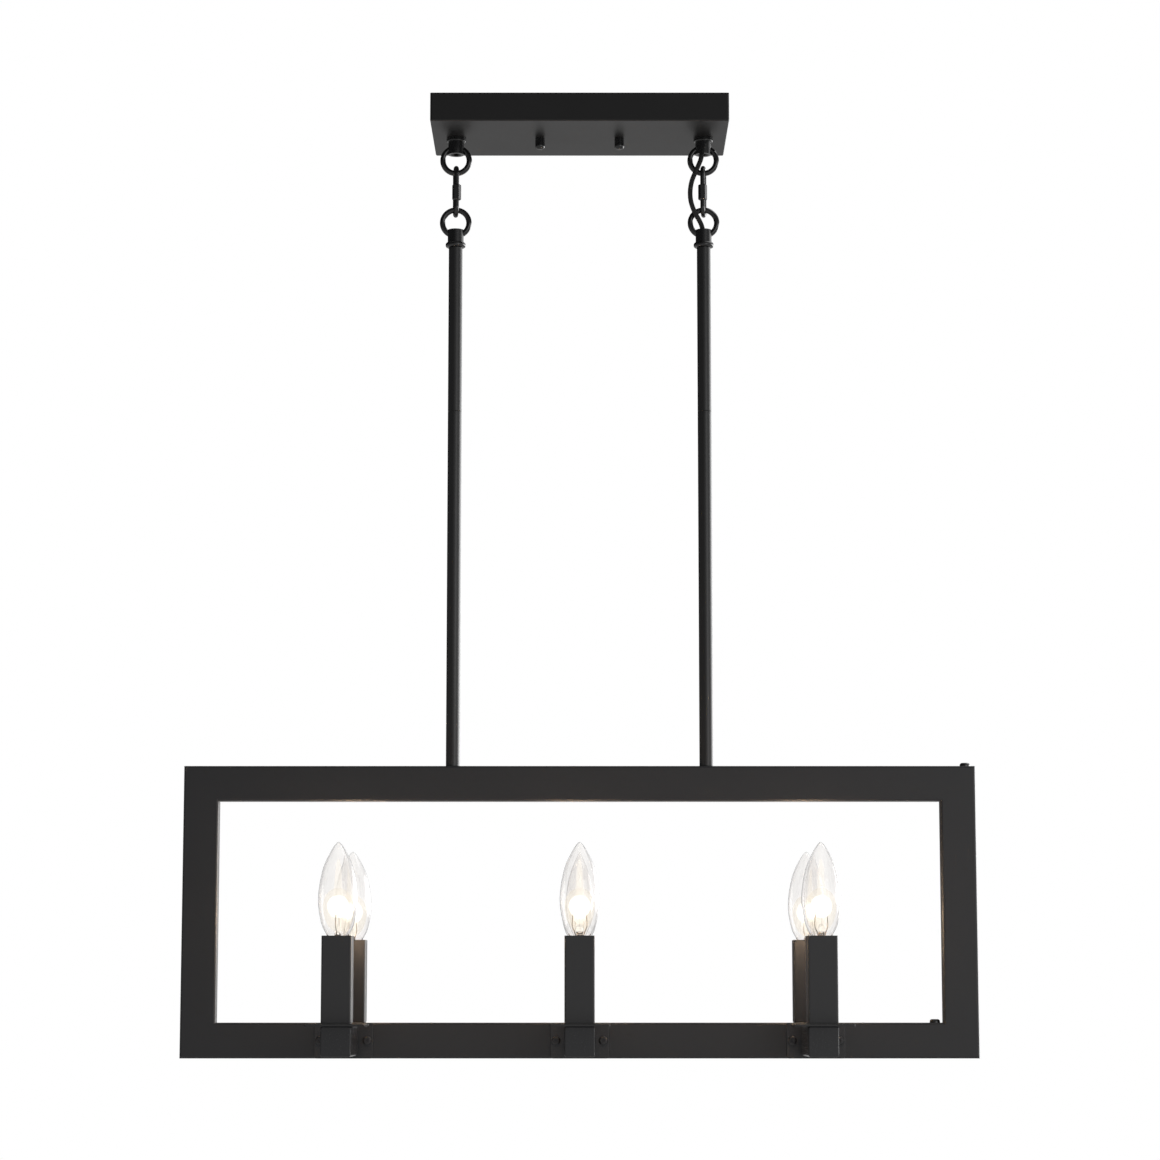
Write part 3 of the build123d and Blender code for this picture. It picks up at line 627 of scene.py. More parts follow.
def clear_selection() -> None:
    """Leaves nothing selected and no object active in edit mode."""
    if bpy.context.object and bpy.context.object.mode != "OBJECT":
        mode("OBJECT")
    bpy.ops.object.select_all(action="DESELECT")


def choose(piece: Piece) -> None:
    """Selects one object alone and makes it active.

    Args:
        piece: the object.
    """
    clear_selection()
    piece.select_set(True)
    bpy.context.view_layer.objects.active = piece


def pick(piece: Piece, kind: str, wanted: Callable[[Element], bool]) -> None:
    """Selects vertices or faces and nothing else, and goes to edit mode.

    Args:
        piece: the mesh object.
        kind: VERT or FACE.
        wanted: whether a vertex or face is selected.
    """
    choose(piece)
    mode("EDIT")
    bpy.ops.mesh.select_mode(type=kind)
    bpy.ops.mesh.select_all(action="DESELECT")
    mode("OBJECT")
    for element in piece.data.vertices if kind == "VERT" else piece.data.polygons:
        element.select = wanted(element)
    mode("EDIT")


def settle(piece: Piece) -> None:
    """Moves the object's place into its mesh, so that the object sits at the origin."""
    choose(piece)
    bpy.ops.object.transform_apply(location=True, rotation=True, scale=True)


def apply_modifier(piece: Piece, kind: str, **settings: object) -> None:
    """Adds one modifier, sets it and applies it.

    Args:
        piece: the object that gets it.
        kind: the modifier's type.
        settings: its properties.
    """
    choose(piece)
    modifier = piece.modifiers.new(kind.title(), kind)
    for name, value in settings.items():
        setattr(modifier, name, value)
    bpy.ops.object.modifier_apply(modifier=modifier.name)


def outward(piece: Piece) -> None:
    """Merges doubles and points every face outwards.

    Args:
        piece: the mesh object.
    """
    choose(piece)
    mode("EDIT")
    bpy.ops.mesh.select_mode(type="VERT")
    bpy.ops.mesh.select_all(action="SELECT")
    bpy.ops.mesh.remove_doubles(threshold=WELD_DISTANCE)
    bpy.ops.mesh.normals_make_consistent(inside=False)
    mode("OBJECT")


def smooth(piece: Piece, degrees: float) -> None:
    """Shades the piece smooth, apart from edges sharper than this."""
    choose(piece)
    bpy.ops.object.shade_smooth_by_angle(angle=math.radians(degrees))


def join(name: str, pieces: Sequence[Piece]) -> Piece:
    """Joins pieces into the first one.

    Args:
        name: the joined piece's name.
        pieces: what is joined.

    Returns:
        The joined piece.
    """
    choose(pieces[0])
    for piece in pieces[1:]:
        piece.select_set(True)
    bpy.ops.object.join()
    pieces[0].name = name
    return pieces[0]


def copied(piece: Piece, name: str, shift: Vector, turn: float = 0.0) -> Piece:
    """Copy of a piece with its own mesh.

    Args:
        piece: the piece that is copied.
        name: the copy's name.
        shift: how far it is moved.
        turn: how far it is turned about the vertical axis first, in degrees.

    Returns:
        The copy.
    """
    twin = piece.copy()
    twin.data = piece.data.copy()
    twin.name = name
    twin.data.transform(Matrix.Translation(shift) @ Matrix.Rotation(math.radians(turn), 4, "Z"))
    bpy.context.collection.objects.link(twin)
    return twin


def in_metres(outline: Course) -> list[tuple[float, float]]:
    """Radii and heights in metres, from the same in millimetres."""
    return [(radius * MM, height * MM) for radius, height in outline]


def next_ring(rise: float, ratio: float = 1.0) -> None:
    """Extrudes the selected ring upwards by a rise, and widens it about the axis by a ratio."""
    bpy.ops.mesh.extrude_region_move(TRANSFORM_OT_translate={"value": (0.0, 0.0, rise)})
    if ratio != 1.0:
        bpy.ops.transform.resize(value=(ratio, ratio, 1.0), center_override=(0.0, 0.0, 0.0))


def turned(name: str, profile: Course, segments: int, capped: bool) -> Piece:
    """Turns an outline about the vertical axis by extruding a ring from level to level.

    Args:
        name: the piece's name.
        profile: radius and height of each level, in metres, from the first ring to the last.
        segments: points around each ring.
        capped: whether the first ring starts as a face, so that both ends are closed.

    Returns:
        The turned piece.
    """
    clear_selection()
    radius, height = profile[0]
    fill = "NGON" if capped else "NOTHING"
    bpy.ops.mesh.primitive_circle_add(
        vertices=segments, radius=radius, location=(0, 0, height), fill_type=fill
    )
    piece = bpy.context.object
    piece.name = name
    mode("EDIT")
    bpy.ops.mesh.select_mode(type="VERT")
    bpy.ops.mesh.select_all(action="SELECT")
    for next_radius, next_height in profile[1:]:
        next_ring(next_height - height, next_radius / radius)
        radius, height = next_radius, next_height
    mode("OBJECT")
    settle(piece)
    outward(piece)
    return piece


def wire(name: str, route: Sequence[Point], thickness: float, sides: int = 2) -> Piece:
    """Round wire along a smooth route.

    Args:
        name: the piece's name.
        route: points that steer the wire, in metres.
        thickness: its diameter.
        sides: roundness of its section.

    Returns:
        The wire as a mesh at the origin.
    """
    clear_selection()
    bpy.ops.curve.primitive_nurbs_path_add(location=(0, 0, 0))
    piece = bpy.context.object
    piece.name = name
    curve = piece.data
    curve.splines.clear()
    spline = curve.splines.new("NURBS")
    spline.points.add(len(route) - 1)
    for point, place in zip(spline.points, route):
        point.co = (*place, 1.0)
    spline.order_u = 3
    spline.use_endpoint_u = True
    spline.resolution_u = 6
    curve.dimensions = "3D"
    curve.bevel_depth = thickness / 2
    curve.bevel_resolution = sides
    curve.use_fill_caps = True
    choose(piece)
    bpy.ops.object.convert(target="MESH")
    outward(piece)
    smooth(piece, 50.0)
    return piece


def rounded_course(points: Course, steps: int) -> list[tuple[float, float]]:
    """Smooth course through points, each stretch curved by its neighbours.

    Args:
        points: places that the course passes through.
        steps: parts in each stretch.

    Returns:
        The places along the course.
    """
    ends = [points[0], *points, points[-1]]
    course = [points[0]]
    for knots in zip(ends, ends[1:], ends[2:], ends[3:]):
        for step in range(1, steps + 1):
            t = step / steps
            weights = (
                (-t + 2 * t**2 - t**3) / 2,
                (2 - 5 * t**2 + 3 * t**3) / 2,
                (t + 4 * t**2 - 3 * t**3) / 2,
                (-(t**2) + t**3) / 2,
            )
            pairs = list(zip(weights, knots))
            course.append(tuple(sum(w * knot[axis] for w, knot in pairs) for axis in (0, 1)))
    return course


# ---------------------------------------------------------------- the finishes in use


class Coat(Enum):
    """Every finish on the pendant. Those of the record's slots have the slots' names."""

    CANOPY_PAINT = powder_coat("canopy_satin", (0.0045, 0.0043, 0.0045), 0.34, specular=0.42)
    ROD_PAINT = powder_coat("rod_satin", (0.011, 0.011, 0.0115), 0.24, peel=1.1 * MM)
    FRAME_PAINT = powder_coat("frame_satin", (0.0120, 0.0120, 0.0138), 0.28)
    ARM_PAINT = powder_coat("arm_satin", (0.0135, 0.0135, 0.0152), 0.17)
    SLEEVE_PAINT = powder_coat("sleeve_satin", (0.020, 0.0195, 0.0205), 0.24, peel=1.3 * MM)
    PLATE_PAINT = powder_coat("plate_satin", (0.013, 0.013, 0.0135), 0.18)
    HARDWARE_PAINT = cast_paint("hardware_gloss", (0.0045, 0.0045, 0.005), 0.13)
    LINK_PAINT = cast_paint("link_gloss", (0.005, 0.005, 0.0055), 0.20)
    PLATED_STEEL = Layered(
        "zinc_plate",
        colour=(0.50, 0.50, 0.47),
        second=(0.30, 0.28, 0.23),
        shine=0.26,
        layers=ZINC_PLATE,
        depth=0.02 * MM,
        metallic=1.0,
    )
    SOCKET_PLASTIC = moulded("socket_plastic", (0.02, 0.02, 0.02), 0.35)
    CONNECTOR_PLASTIC = moulded("connector_plastic", (0.62, 0.22, 0.035), 0.42)
    CABLE_JACKET = jacket("cable_jacket", (0.012, 0.012, 0.012), 0.32)
    LEAD_JACKET = jacket("lead_jacket", (0.028, 0.028, 0.030), 0.28)
    LAMP_METAL = LampShell("lamp_shell")
    LAMP_GLASS = ClearGlass("lamp_envelope")
    STEM = ClearGlass("lamp_stem", tint=(0.97, 0.97, 0.96), ripple=1.5 * MM)
    FILAMENT = Glow("lamp_filament", strength=30.0)
    LEAD_WIRE = Layered(
        "lamp_wire",
        colour=(0.05, 0.045, 0.04),
        second=(0.10, 0.08, 0.06),
        shine=0.3,
        layers=HEAT_STAIN,
        metallic=0.6,
    )
    SCREW = Layered(
        "screw_black_oxide",
        colour=(0.045, 0.045, 0.047),
        second=(0.12, 0.118, 0.115),
        shine=0.26,
        layers=BLACK_OXIDE,
        depth=0.01 * MM,
        metallic=0.85,
    )
    CONDUCTORS = Conductors("conductor_jackets")


NODE_COATS = {"arm_screws": Coat.SCREW, "canopy_leads": Coat.CONDUCTORS}


def dress_frame(frame: dict) -> None:
    """Gives each solid of the frame the finish of its node or slot.
    """
    for part in frame["record"]["subparts"]:
        node = part["node"]
        coat = NODE_COATS.get(node, Coat[part["material_slot"].upper()])
        coat.value.dress(frame["nodes"][node])
        log.info("dressed %s", node)


# ---------------------------------------------------------------- supply cable


@dataclass
class SupplyCable:
    """Bare cable that bows in front of the right hand link, from the canopy's loop to the rod's.

    Attributes:
        diameter: of the jacket.
        axis_x: the right hand rod's axis.
        canopy_bottom: height of the canopy's underside.
        exit_height, entry_depth: the canopy loop's mouth over that loop's lowest point, and the
        rod loop's mouth under its highest. Neither is used.
        sides: roundness of the cable's section.
        route: offset to the right and rear of the axis, and depth under the canopy, of each
            point, in millimetres.
    """

    diameter: float = 4.2 * MM
    axis_x: float = 109 * MM
    canopy_bottom: float = -25 * MM
    exit_height: float = 14 * MM
    entry_depth: float = 19 * MM
    sides: int = 5
    route: tuple[Point, ...] = (
        (-0.7, -0.7, 8.0),
        (-0.7, -0.7, 15.6),
        (-5.5, -5.6, 28.5),
        (-11.2, -8.6, 41.5),
        (-12.4, -8.8, 55.5),
        (-9.0, -6.9, 67.0),
        (-0.9, -0.85, 79.2),
        (-0.7, -0.7, 88.0),
        (-0.7, -0.7, 96.0),
    )

    def points(self) -> list[Point]:
        """The route in the part's frame, in metres."""
        x_axis, top = self.axis_x, self.canopy_bottom
        return [(x_axis + x * MM, y * MM, top - depth * MM) for x, y, depth in self.route]

    def half(self, whole: Piece, name: str, level: float, upper: bool) -> Piece:
        """The part of the cable above or below a level.

        Args:
            whole: the whole cable.
            name: the new piece's name.
            level: height of the cut.
            upper: whether the part above it is kept.

        Returns:
            The new piece.
        """
        piece = copied(whole, name, Vector())
        choose(piece)
        mode("EDIT")
        bpy.ops.mesh.select_all(action="SELECT")
        bpy.ops.mesh.bisect(
            plane_co=(0, 0, level),
            plane_no=(0, 0, 1),
            use_fill=True,
            clear_inner=upper,
            clear_outer=not upper,
        )
        mode("OBJECT")
        return piece

    def build(self) -> None:
        """Models the cable and cuts it into two halves at the middle height of the right hand
        link.
        """
        whole = wire("supply_cable_whole", self.points(), self.diameter, self.sides)
        Coat.CABLE_JACKET.value.dress(whole)
        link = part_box("right_link")
        middle = (link[0][2] + link[1][2]) / 2
        upper = self.half(whole, "supply_cable_upper", middle, True)
        lower = self.half(whole, "supply_cable_lower", middle, False)
        bpy.data.objects.remove(whole)
        for piece in (upper, lower):
            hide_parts("supply_cable")
        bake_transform(upper)
        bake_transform(lower)
        log.info("supply cable in two halves, split at %.4f m", middle)


# ---------------------------------------------------------------- wire nuts


@dataclass
class WireNuts:
    """Two winged and fluted wire nuts on the conductors in the canopy.

    Attributes:
        outline: radius and distance from the tip of each level, in millimetres, out over the
            skirt and down the bore.
        sectors: faces around, of which every other one is a flute.
        flute_span, flute_rim, flute_depth: where a flute starts and ends, in millimetres from
            the tip, the width of the slope around it, and its depth.
        wing_span, wing_root: where a wing starts and ends, and half its width where it starts.
        wing_reach, wing_taper: how far it stands out, and its size there as a share.
    """

    outline: tuple[tuple[float, float], ...] = (
        (2.9, 0.0),
        (3.7, 0.35),
        (4.0, 1.2),
        (4.3, 2.4),
        (5.75, 10.5),
        (6.0, 12.0),
        (6.0, 17.6),
        (5.8, 18.0),
        (3.4, 18.0),
        (3.0, 17.2),
        (3.0, 8.0),
    )
    sectors: int = 40
    flute_span: tuple[float, float] = (2.4, 10.5)
    flute_rim: float = 0.12 * MM
    flute_depth: float = 0.45 * MM
    wing_span: tuple[float, float] = (10.5, 17.6)
    wing_root: float = 1.6 * MM
    wing_reach: float = 2.2 * MM
    wing_taper: Point = (0.65, 1.0, 0.82)

    def on_skirt(self, face: Element, span: tuple[float, float]) -> bool:
        """Whether a face looks away from the axis and lies between two levels."""
        middle = face.center
        outwards = face.normal.x * middle.x + face.normal.y * middle.y
        return outwards > 0.5 * middle.xy.length and span[0] * MM < middle.z < span[1] * MM

    def in_flute(self, face: Element) -> bool:
        """Whether a face lies in a flute."""
        turns = math.atan2(face.center.y, face.center.x) / (2 * math.pi)
        return math.floor(turns * self.sectors) % 2 == 0 and self.on_skirt(face, self.flute_span)

    def in_wing(self, face: Element) -> bool:
        """Whether a face carries a wing."""
        return abs(face.center.x) < self.wing_root and self.on_skirt(face, self.wing_span)

    def master(self) -> Piece:
        """One wire nut, its tip at the origin and its axis along the canopy.

        Returns:
            The wire nut.
        """
        piece = turned("wire_nut_master", in_metres(self.outline), self.sectors, capped=True)
        pick(piece, "FACE", self.in_flute)
        bpy.ops.mesh.inset(thickness=self.flute_rim, depth=-self.flute_depth, use_individual=True)
        mode("OBJECT")
        pick(piece, "FACE", self.in_wing)
        bpy.ops.mesh.extrude_region_shrink_fatten(
            TRANSFORM_OT_shrink_fatten={"value": self.wing_reach}
        )
        skirt = (0, 0, self.wing_span[1] * MM)
        bpy.ops.transform.resize(value=self.wing_taper, center_override=skirt)
        mode("OBJECT")
        outward(piece)
        smooth(piece, 30.0)
        choose(piece)
        piece.rotation_euler = (0.0, math.pi / 2, 0.0)
        settle(piece)
        return piece

    def build(self) -> None:
        """Models one wire nut and copies it over both solids of the frame."""
        master = self.master()
        Coat.CONNECTOR_PLASTIC.value.dress(master)
        low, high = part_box("wire_nuts")
        half = (high[2] - low[2]) / 2
        for name, y in (("front", low[1] + half), ("rear", high[1] - half)):
            shift = Vector((low[0], y, (low[2] + high[2]) / 2))
            piece = copied(master, f"wire_nut_{name}", shift)
            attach(piece, "canopy")
            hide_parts("wire_nuts")
            log.info("placed wire nut %s", name)
        bpy.data.objects.remove(master)


# ---------------------------------------------------------------- lamps


@dataclass(frozen=True)
class Veil:
    """One see-through veil of light.

    Attributes:
        radius: its widest radius.
        drop, rise: its reach below and above the filament, in radii.
        cover: how much it hides what is behind.
        strength, colour: of its light.
    """

    radius: float
    drop: float
    rise: float
    cover: float
    strength: float
    colour: Colour


@dataclass
class TorpedoLamp:
    """Clear torpedo lamp, modelled once over the origin and copied to every socket.

    Attributes:
        outline, stem_outline: radius and height above the sleeve's top of each level of the
            glass and of the stem, in millimetres.
        tip, tip_steps, tip_rest: height of the glass's tip, part of the last rise and narrowing
            of each ring under it, and part that is left for the tip itself.
        wall, segments: thickness of the glass, and points around it.
        press_level, press: height from which the stem is pressed flat, and its size there along
            each axis, as a share of the round one's.
        lead_thickness, support_thickness, wire_thickness: diameters of the lead wires, of the
            filament's middle support and of its own wire.
        glow_centre, glow_shift: height of the filament above the sleeve's top, and how far its
            feet lie under that and the veils' middle over it.
        filament_radius, arch_rise: half the width of its arch, and the height over that.
        coil_radius, coil_turns, coil_steps: radius of the coil, its turns, and points on each.
        power, light_colour, light_radius: of the light that the lamp throws.
        veils, veil_levels: the veils, inmost first, and parts of each from pole to pole.
        turns: how far each lamp is screwed round, in degrees.
        parts: the masters by name, once they are modelled.
    """

    outline: tuple[tuple[float, float], ...] = (
        (5.95, -6.0),
        (8.8, 0.0),
        (13.8, 11.0),
        (16.5, 31.0),
        (12.8, 55.0),
        (5.6, 71.0),
        (1.5, 76.6),
    )
    tip: float = 77.4 * MM
    tip_steps: tuple[tuple[float, float], ...] = ((0.55, 0.62), (0.35, 0.35))
    tip_rest: float = 0.1
    wall: float = 0.45 * MM
    segments: int = 96
    stem_outline: tuple[tuple[float, float], ...] = (
        (4.9, -5.8),
        (4.4, -4.0),
        (3.0, -1.0),
        (2.6, 2.0),
        (2.4, 5.0),
        (2.2, 8.0),
        (1.2, 9.6),
    )
    press_level: float = 3 * MM
    press: Point = (1.35, 0.5, 1.0)
    lead_thickness: float = 0.8 * MM
    support_thickness: float = 0.3 * MM
    wire_thickness: float = 0.22 * MM
    glow_centre: float = 23.0 * MM
    glow_shift: float = 1.5 * MM
    filament_radius: float = 5.0 * MM
    arch_rise: float = 1.15
    coil_radius: float = 0.55 * MM
    coil_turns: int = 26
    coil_steps: int = 8
    power: float = 0.3
    light_colour: Colour = (1.0, 0.66, 0.40)
    light_radius: float = 5.0 * MM
    veils: tuple[Veil, ...] = (
        Veil(6.5 * MM, 1.0, 1.0, 0.92, 9.0, (1.0, 0.97, 0.88)),
        Veil(9.0 * MM, 1.1, 1.0, 0.55, 2.0, (1.0, 0.94, 0.80)),
        Veil(3.6 * MM, 6.4, 11.0, 0.32, 1.15, (1.0, 0.95, 0.86)),
        Veil(12.5 * MM, 1.7, 1.2, 0.20, 1.02, (1.0, 0.90, 0.72)),
    )
    veil_levels: int = 14
    turns: tuple[float, ...] = (0.0, 80.0, 25.0, 140.0, 55.0, 110.0)
    parts: dict[str, Piece] = field(default_factory=dict)

    def envelope(self) -> Piece:
        """The blown glass with its inner wall.

        Returns:
            The envelope.
        """
        profile = in_metres(rounded_course(self.outline, 7))
        piece = turned("lamp_envelope_master", profile, self.segments, capped=False)
        self.close_tip(piece, profile[-1][1])
        apply_modifier(piece, "SOLIDIFY", thickness=self.wall, offset=-1.0, use_rim=True)
        smooth(piece, 60.0)
        return piece

    def close_tip(self, piece: Piece, level: float) -> None:
        """Draws the last ring together into the lamp's tip.

        Args:
            piece: the open glass.
            level: height of its last ring.
        """
        pick(piece, "VERT", lambda point: point.co.z > level - 0.01 * MM)
        for share, narrowing in self.tip_steps:
            next_ring((self.tip - level) * share, narrowing)
        next_ring((self.tip - level) * self.tip_rest)
        bpy.ops.mesh.merge(type="CENTER")
        mode("OBJECT")
        outward(piece)

    def stem(self) -> Piece:
        """Glass flare and press that hold the wires, drawn in to a flat top.

        Returns:
            The stem.
        """
        course = in_metres(rounded_course(self.stem_outline, 3))
        piece = turned("lamp_stem_master", course, 32, capped=True)
        pick(piece, "VERT", lambda point: point.co.z > self.press_level)
        bpy.ops.transform.resize(value=self.press, center_override=(0, 0, self.press_level))
        mode("OBJECT")
        smooth(piece, 50.0)
        return piece

    def wires(self) -> Piece:
        """Two lead wires that spread to the filament's ends, and its middle support.

        Returns:
            The three wires as one piece.
        """
        made = []
        foot = self.glow_centre - self.glow_shift
        radius = self.filament_radius
        for side in (-1, 1):
            route = (
                (side * 3.0 * MM, 0, -1.0 * MM),
                (side * 3.8 * MM, 0, 3.0 * MM),
                (side * 6.6 * MM, 0.4 * MM, 8 * MM),
                (side * (radius + 0.4 * MM), 0.3 * MM, foot - 4 * MM),
                (side * radius, 0, foot + 0.4 * MM),
            )
            made.append(wire(f"lamp_lead_{side}", route, self.lead_thickness))
        support = (
            (0, -0.5 * MM, 8.5 * MM),
            (0.2 * MM, -0.8 * MM, 16 * MM),
            (0, -0.4 * MM, self.glow_centre),
            (0, 0, self.glow_centre + radius + 0.9 * MM),
        )
        made.append(wire("lamp_support", support, self.support_thickness))
        return join("lamp_wires_master", made)

    def filament(self) -> Piece:
        """Coiled filament in an arch between the lead wires.

        Returns:
            The filament.
        """
        steps = self.coil_turns * self.coil_steps
        foot = self.glow_centre - self.glow_shift
        route = []
        for step in range(steps + 1):
            along = math.pi * step / steps
            turn = 2 * math.pi * self.coil_turns * step / steps
            out = self.filament_radius + self.coil_radius * math.cos(turn)
            height = foot + out * math.sin(along) * self.arch_rise
            route.append((-out * math.cos(along), self.coil_radius * math.sin(turn), height))
        return wire("lamp_filament_master", route, self.wire_thickness, sides=1)

    def veil(self, number: int, veil: Veil) -> Piece:
        """One closed veil of light around the filament.

        Args:
            number: its place in the row of veils.
            veil: its measures.

        Returns:
            The veil.
        """
        profile = []
        for step in range(1, self.veil_levels):
            angle = math.pi * step / self.veil_levels - math.pi / 2
            reach = veil.radius * (veil.drop if angle < 0 else veil.rise)
            height = self.glow_centre + self.glow_shift + reach * math.sin(angle)
            profile.append((veil.radius * math.cos(angle), height))
        piece = turned(f"lamp_veil_{number}_master", profile, 32, capped=True)
        smooth(piece, 80.0)
        Glow(f"lamp_veil_{number}", veil.colour, veil.strength, veil.cover).dress(piece)
        return piece

    def model(self) -> None:
        """Models and dresses every piece once."""
        for name, make, coat in (
            ("envelope", self.envelope, Coat.LAMP_GLASS),
            ("stem", self.stem, Coat.STEM),
            ("wires", self.wires, Coat.LEAD_WIRE),
            ("filament", self.filament, Coat.FILAMENT),
        ):
            self.parts[name] = make()
            coat.value.dress(self.parts[name])
        for number, veil in enumerate(self.veils):
            self.parts[f"veil_{number}"] = self.veil(number, veil)

    def fit(self, place: str, turn: float) -> None:
        """Copies the lamp into one socket.

        Args:
            place: row and column of the candle, as its nodes are named.
            turn: how far the lamp is screwed round, in degrees.
        """
        low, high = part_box(f"{place}_lamp_glass")
        sleeve_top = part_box(f"{place}_sleeve")[1][2]
        shift = Vector(((low[0] + high[0]) / 2, (low[1] + high[1]) / 2, sleeve_top))
        for part, master in self.parts.items():
            piece = copied(master, f"{place}_lamp_{part}", shift, turn)
            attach(piece, f"{place}_lamp")
            piece.visible_shadow = False
            if part == "envelope":
                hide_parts(f"{place}_lamp_glass")
        self.light(place, shift)
        log.info("fitted lamp %s", place)

    def light(self, place: str, shift: Vector) -> None:
        """Adds the light that one glowing lamp throws on what is near it.

        Args:
            place: row and column of the candle.
            shift: middle of the sleeve's top.
        """
        clear_selection()
        centre = shift + Vector((0, 0, self.glow_centre))
        bpy.ops.object.light_add(type="POINT", location=centre)
        light = bpy.context.object
        light.name = f"{place}_light"
        light.data.energy = self.power
        light.data.color = self.light_colour
        light.data.shadow_soft_size = self.light_radius
        light.visible_camera = False
        light.visible_transmission = False

    def build(self, places: Sequence[str]) -> None:
        """Models the lamp, copies it into its sockets and removes the masters.

        Args:
            places: row and column of every candle.
        """
        self.model()
        for place, turn in zip(places, self.turns):
            self.fit(place, turn)
        for master in self.parts.values():
            bpy.data.objects.remove(master)


# ---------------------------------------------------------------- studio


@dataclass(frozen=True)
class Room:
    """Brightness of what glossy surfaces mirror, by direction: x right, y to the rear, z up.

    Attributes:
        slope, middle: how fast the sides brighten to the right, and how bright they are ahead.
        darkest, brightest: limits of that, far to the left and to the right.
        ground, horizon: share of it that is left below the horizon, and z where it changes.
        gloom, gloom_band: how much darker the upper walls are, and z where that changes.
        ceiling, ceiling_band: how much the ceiling adds to them, and z where that changes.
        rear, rear_band: how much darker the rear is, and y where that changes.
        rear_side: x where that darkness fades to the right.
        rear_low, low_band: how much of it is taken back lower down, and -z where that changes.
        strip: brightness that the strip of light on the right adds.
        strip_depth, strip_side: y and x where the strip starts and is full.
    """

    slope: float = 1.3
    middle: float = 0.68
    darkest: float = 0.2
    brightest: float = 1.3
    ground: float = 0.78
    horizon: tuple[float, float] = (-0.06, 0.06)
    gloom: float = 0.88
    gloom_band: tuple[float, float] = (0.08, 0.30)
    ceiling: float = 0.7
    ceiling_band: tuple[float, float] = (0.55, 0.80)
    rear: float = 0.82
    rear_low: float = 0.54
    rear_band: tuple[float, float] = (0.1, 0.6)
    rear_side: tuple[float, float] = (0.1, 0.5)
    low_band: tuple[float, float] = (0.04, 0.25)
    strip: float = 4.5
    strip_depth: tuple[float, float] = (-0.2, 0.15)
    strip_side: tuple[float, float] = (0.25, 0.5)

    def brightness(self, x: Field, y: Field, z: Field) -> Field:
        """How bright the room is in a direction.

        Args:
            x: the direction's part to the right.
            y: its part to the rear.
            z: its part upwards.

        Returns:
            The brightness.
        """
        side = (x * self.slope + self.middle).at_least(self.darkest).at_most(self.brightest)
        side = side * (z.ease(*self.horizon) * (1.0 - self.ground) + self.ground)
        walls = 1.0 - z.ease(*self.gloom_band) * self.gloom
        raised = walls + z.ease(*self.ceiling_band) * self.ceiling
        behind = y.ease(*self.rear_band) * (1.0 - x.ease(*self.rear_side))
        below = (z * -1.0).ease(*self.low_band)
        strip = y.ease(*self.strip_depth) * x.ease(*self.strip_side) * self.strip
        dimmed = 1.0 - behind * (self.rear - below * self.rear_low)
        return (side * dimmed + strip) * raised


@dataclass(frozen=True)
class SoftLamp:
    """One square soft lamp, with its side and its power in watts."""

    name: str
    place: Point
    size: float
    power: float

    def build(self, target: Point) -> None:
        """Adds the lamp.

        Args:
            target: what it points at.
        """
        clear_selection()
        aim = Vector(target) - Vector(self.place)
        turn = aim.to_track_quat("-Z", "Y").to_euler()
        bpy.ops.object.light_add(type="AREA", location=self.place, rotation=turn)
        light = bpy.context.object
        light.name = self.name
        light.data.size = self.size
        light.data.energy = self.power


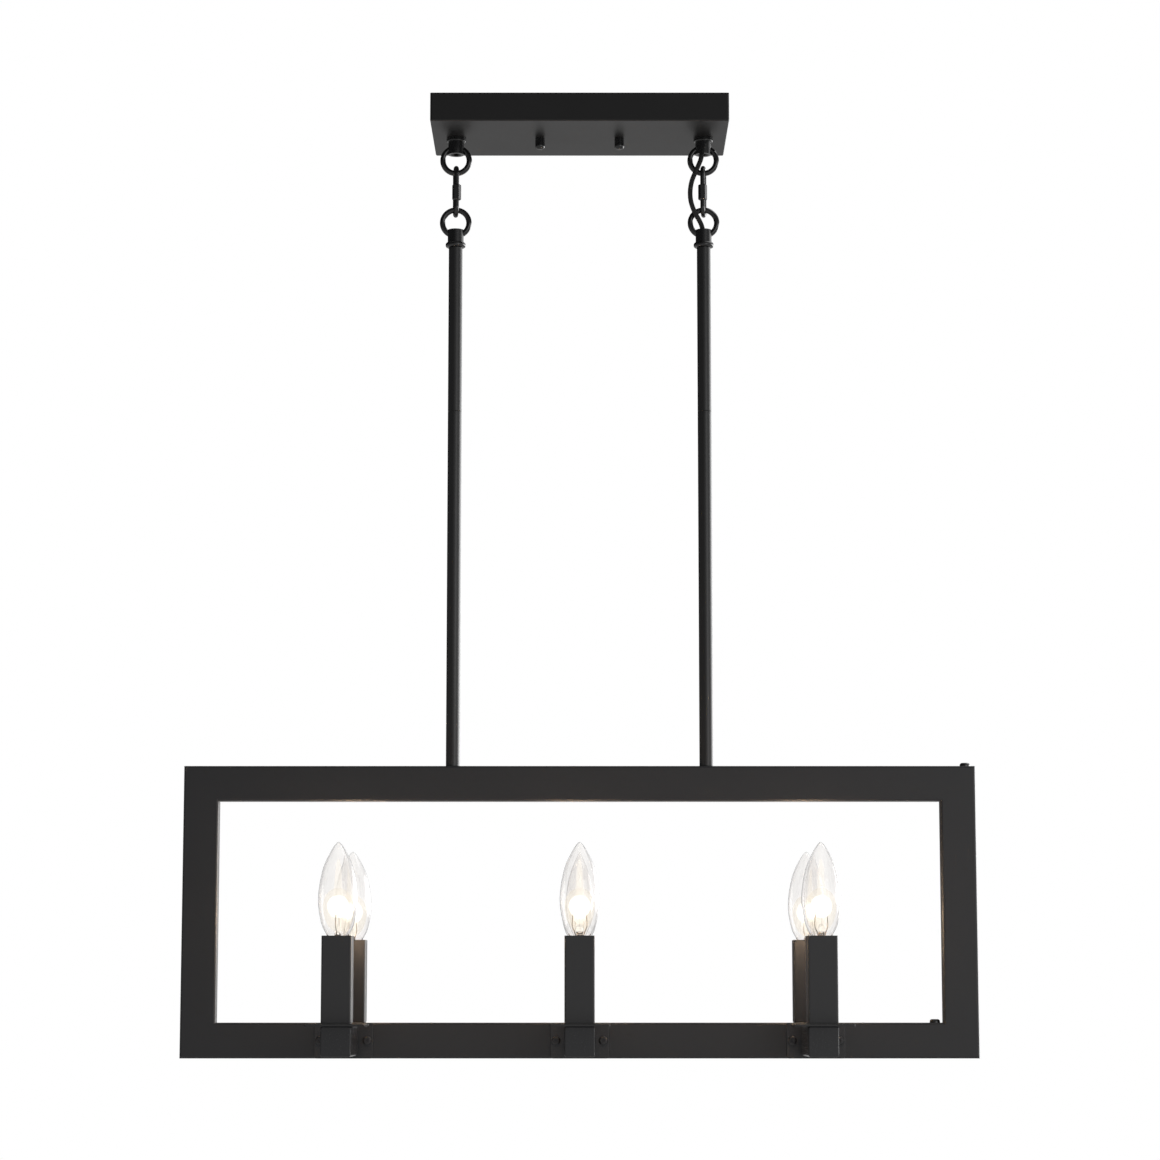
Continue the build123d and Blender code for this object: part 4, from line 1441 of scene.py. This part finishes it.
@dataclass
class Studio:
    """Camera, world, soft lamps and floor.

    Attributes:
        image_size, focal_pixels: width and focal length of the photograph, in pixels.
        sensor: width of the camera's sensor, in millimetres.
        camera_place, camera_tilt: where the camera stands, and how far it looks up.
        camera_reach: distance up to which it sees.
        floor_level, floor_width: height and side of the floor, which ends just under the
            photograph's view.
        floor_lift: how far it is lifted towards white where the camera sees it.
        floor_tones, floor_cloud: its two colours, and the size of one cloud in them.
        level: brightness of the surround for diffuse light.
        room: what glossy surfaces mirror.
        middle, lamps: what the soft lamps point at, and those lamps.
    """

    image_size: float = 1160.0
    focal_pixels: float = 3138.0
    sensor: float = 36.0
    camera_place: Point = (0.3 * MM, -2694 * MM, -784.6 * MM)
    camera_tilt: float = 0.1351
    camera_reach: float = 100.0
    floor_level: float = -1.9
    floor_width: float = 38.0
    floor_lift: float = 0.8
    floor_tones: tuple[Colour, Colour] = ((0.9, 0.9, 0.9), (0.88, 0.88, 0.88))
    floor_cloud: float = 0.8
    level: float = 0.55
    room: Room = Room()
    middle: Point = (0.0, 0.0, -0.5)
    lamps: tuple[SoftLamp, ...] = (
        SoftLamp("lamp_front", (1.8, -2.8, -0.2), 1.6, 7.0),
        SoftLamp("lamp_right", (2.6, 1.4, -0.3), 1.6, 12.0),
    )

    def camera(self) -> None:
        """Adds the camera of the photograph."""
        clear_selection()
        rotation = (math.pi / 2 + self.camera_tilt, 0, 0)
        bpy.ops.object.camera_add(location=self.camera_place, rotation=rotation)
        camera = bpy.context.object
        camera.name = "camera"
        camera.data.sensor_width = self.sensor
        camera.data.lens = self.focal_pixels / self.image_size * self.sensor
        camera.data.clip_end = self.camera_reach
        bpy.context.scene.camera = camera

    def world(self) -> None:
        """Adds the surround: white to the camera, the room to gloss, even to diffuse light."""
        world = bpy.data.worlds.new("studio")
        bpy.context.scene.world = world
        tree = ShaderTree(world)
        direction = tree.out(tree.node("ShaderNodeTexCoord"), "Generated")
        room = self.room.brightness(*tree.axes(direction))
        path = tree.node("ShaderNodeLightPath")
        seen = tree.out(path, "Is Camera Ray") + tree.out(path, "Is Transmission Ray")
        white = seen.at_most(1.0)
        mirrored = tree.out(path, "Is Glossy Ray") * (1.0 - white)
        others = (1.0 - white - mirrored).at_least(0.0)
        total = white + mirrored * room + others * self.level
        sockets = {"Color": (*WHITE, 1.0), "Strength": total}
        background = tree.out(tree.node("ShaderNodeBackground", sockets=sockets))
        tree.close(background, "ShaderNodeOutputWorld")

    def floor(self) -> None:
        """Adds the pale floor, under the view of the photograph."""
        clear_selection()
        place = (0, 0, self.floor_level)
        bpy.ops.mesh.primitive_plane_add(size=self.floor_width, location=place)
        floor = bpy.context.object
        floor.name = "floor"
        material = bpy.data.materials.new("floor_white")
        tree = ShaderTree(material)
        pale = tree.blend(tree.noise(self.floor_cloud, 2.0), *self.floor_tones)
        matt = tree.out(tree.node("ShaderNodeBsdfDiffuse", sockets={"Color": pale}))
        sockets = {"Color": (*WHITE, 1.0), "Strength": 1.0}
        white = tree.out(tree.node("ShaderNodeEmission", sockets=sockets))
        seen = tree.out(tree.node("ShaderNodeLightPath"), "Is Camera Ray") * self.floor_lift
        mix = tree.node("ShaderNodeMixShader", sockets={0: seen, 1: matt, 2: white})
        tree.close(tree.out(mix))
        floor.data.materials.append(material)

    def build(self) -> None:
        """Builds the studio."""
        self.camera()
        self.world()
        self.floor()
        for lamp in self.lamps:
            lamp.build(self.middle)
        scene = bpy.context.scene
        scene.view_settings.view_transform = "Standard"
        log.info("studio ready")


# ---------------------------------------------------------------- assembly


def lamp_places(frame: dict) -> list[str]:
    """Row and column of every candle, read from the frame's nodes.


    Returns:
        The places in alphabetical order.
    """
    ending = "_lamp_glass"
    return sorted(name[: -len(ending)] for name in frame["nodes"] if name.endswith(ending))


def main() -> None:
    """Loads the frame, dresses it, adds the modelled pieces and sets the studio."""
    logging.basicConfig(level=logging.INFO, format="%(name)s %(message)s")
    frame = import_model()
    Studio().build()
    dress_frame(frame)
    SupplyCable().build()
    WireNuts().build()
    TorpedoLamp().build(lamp_places(frame))


if __name__ == "__main__":
    main()
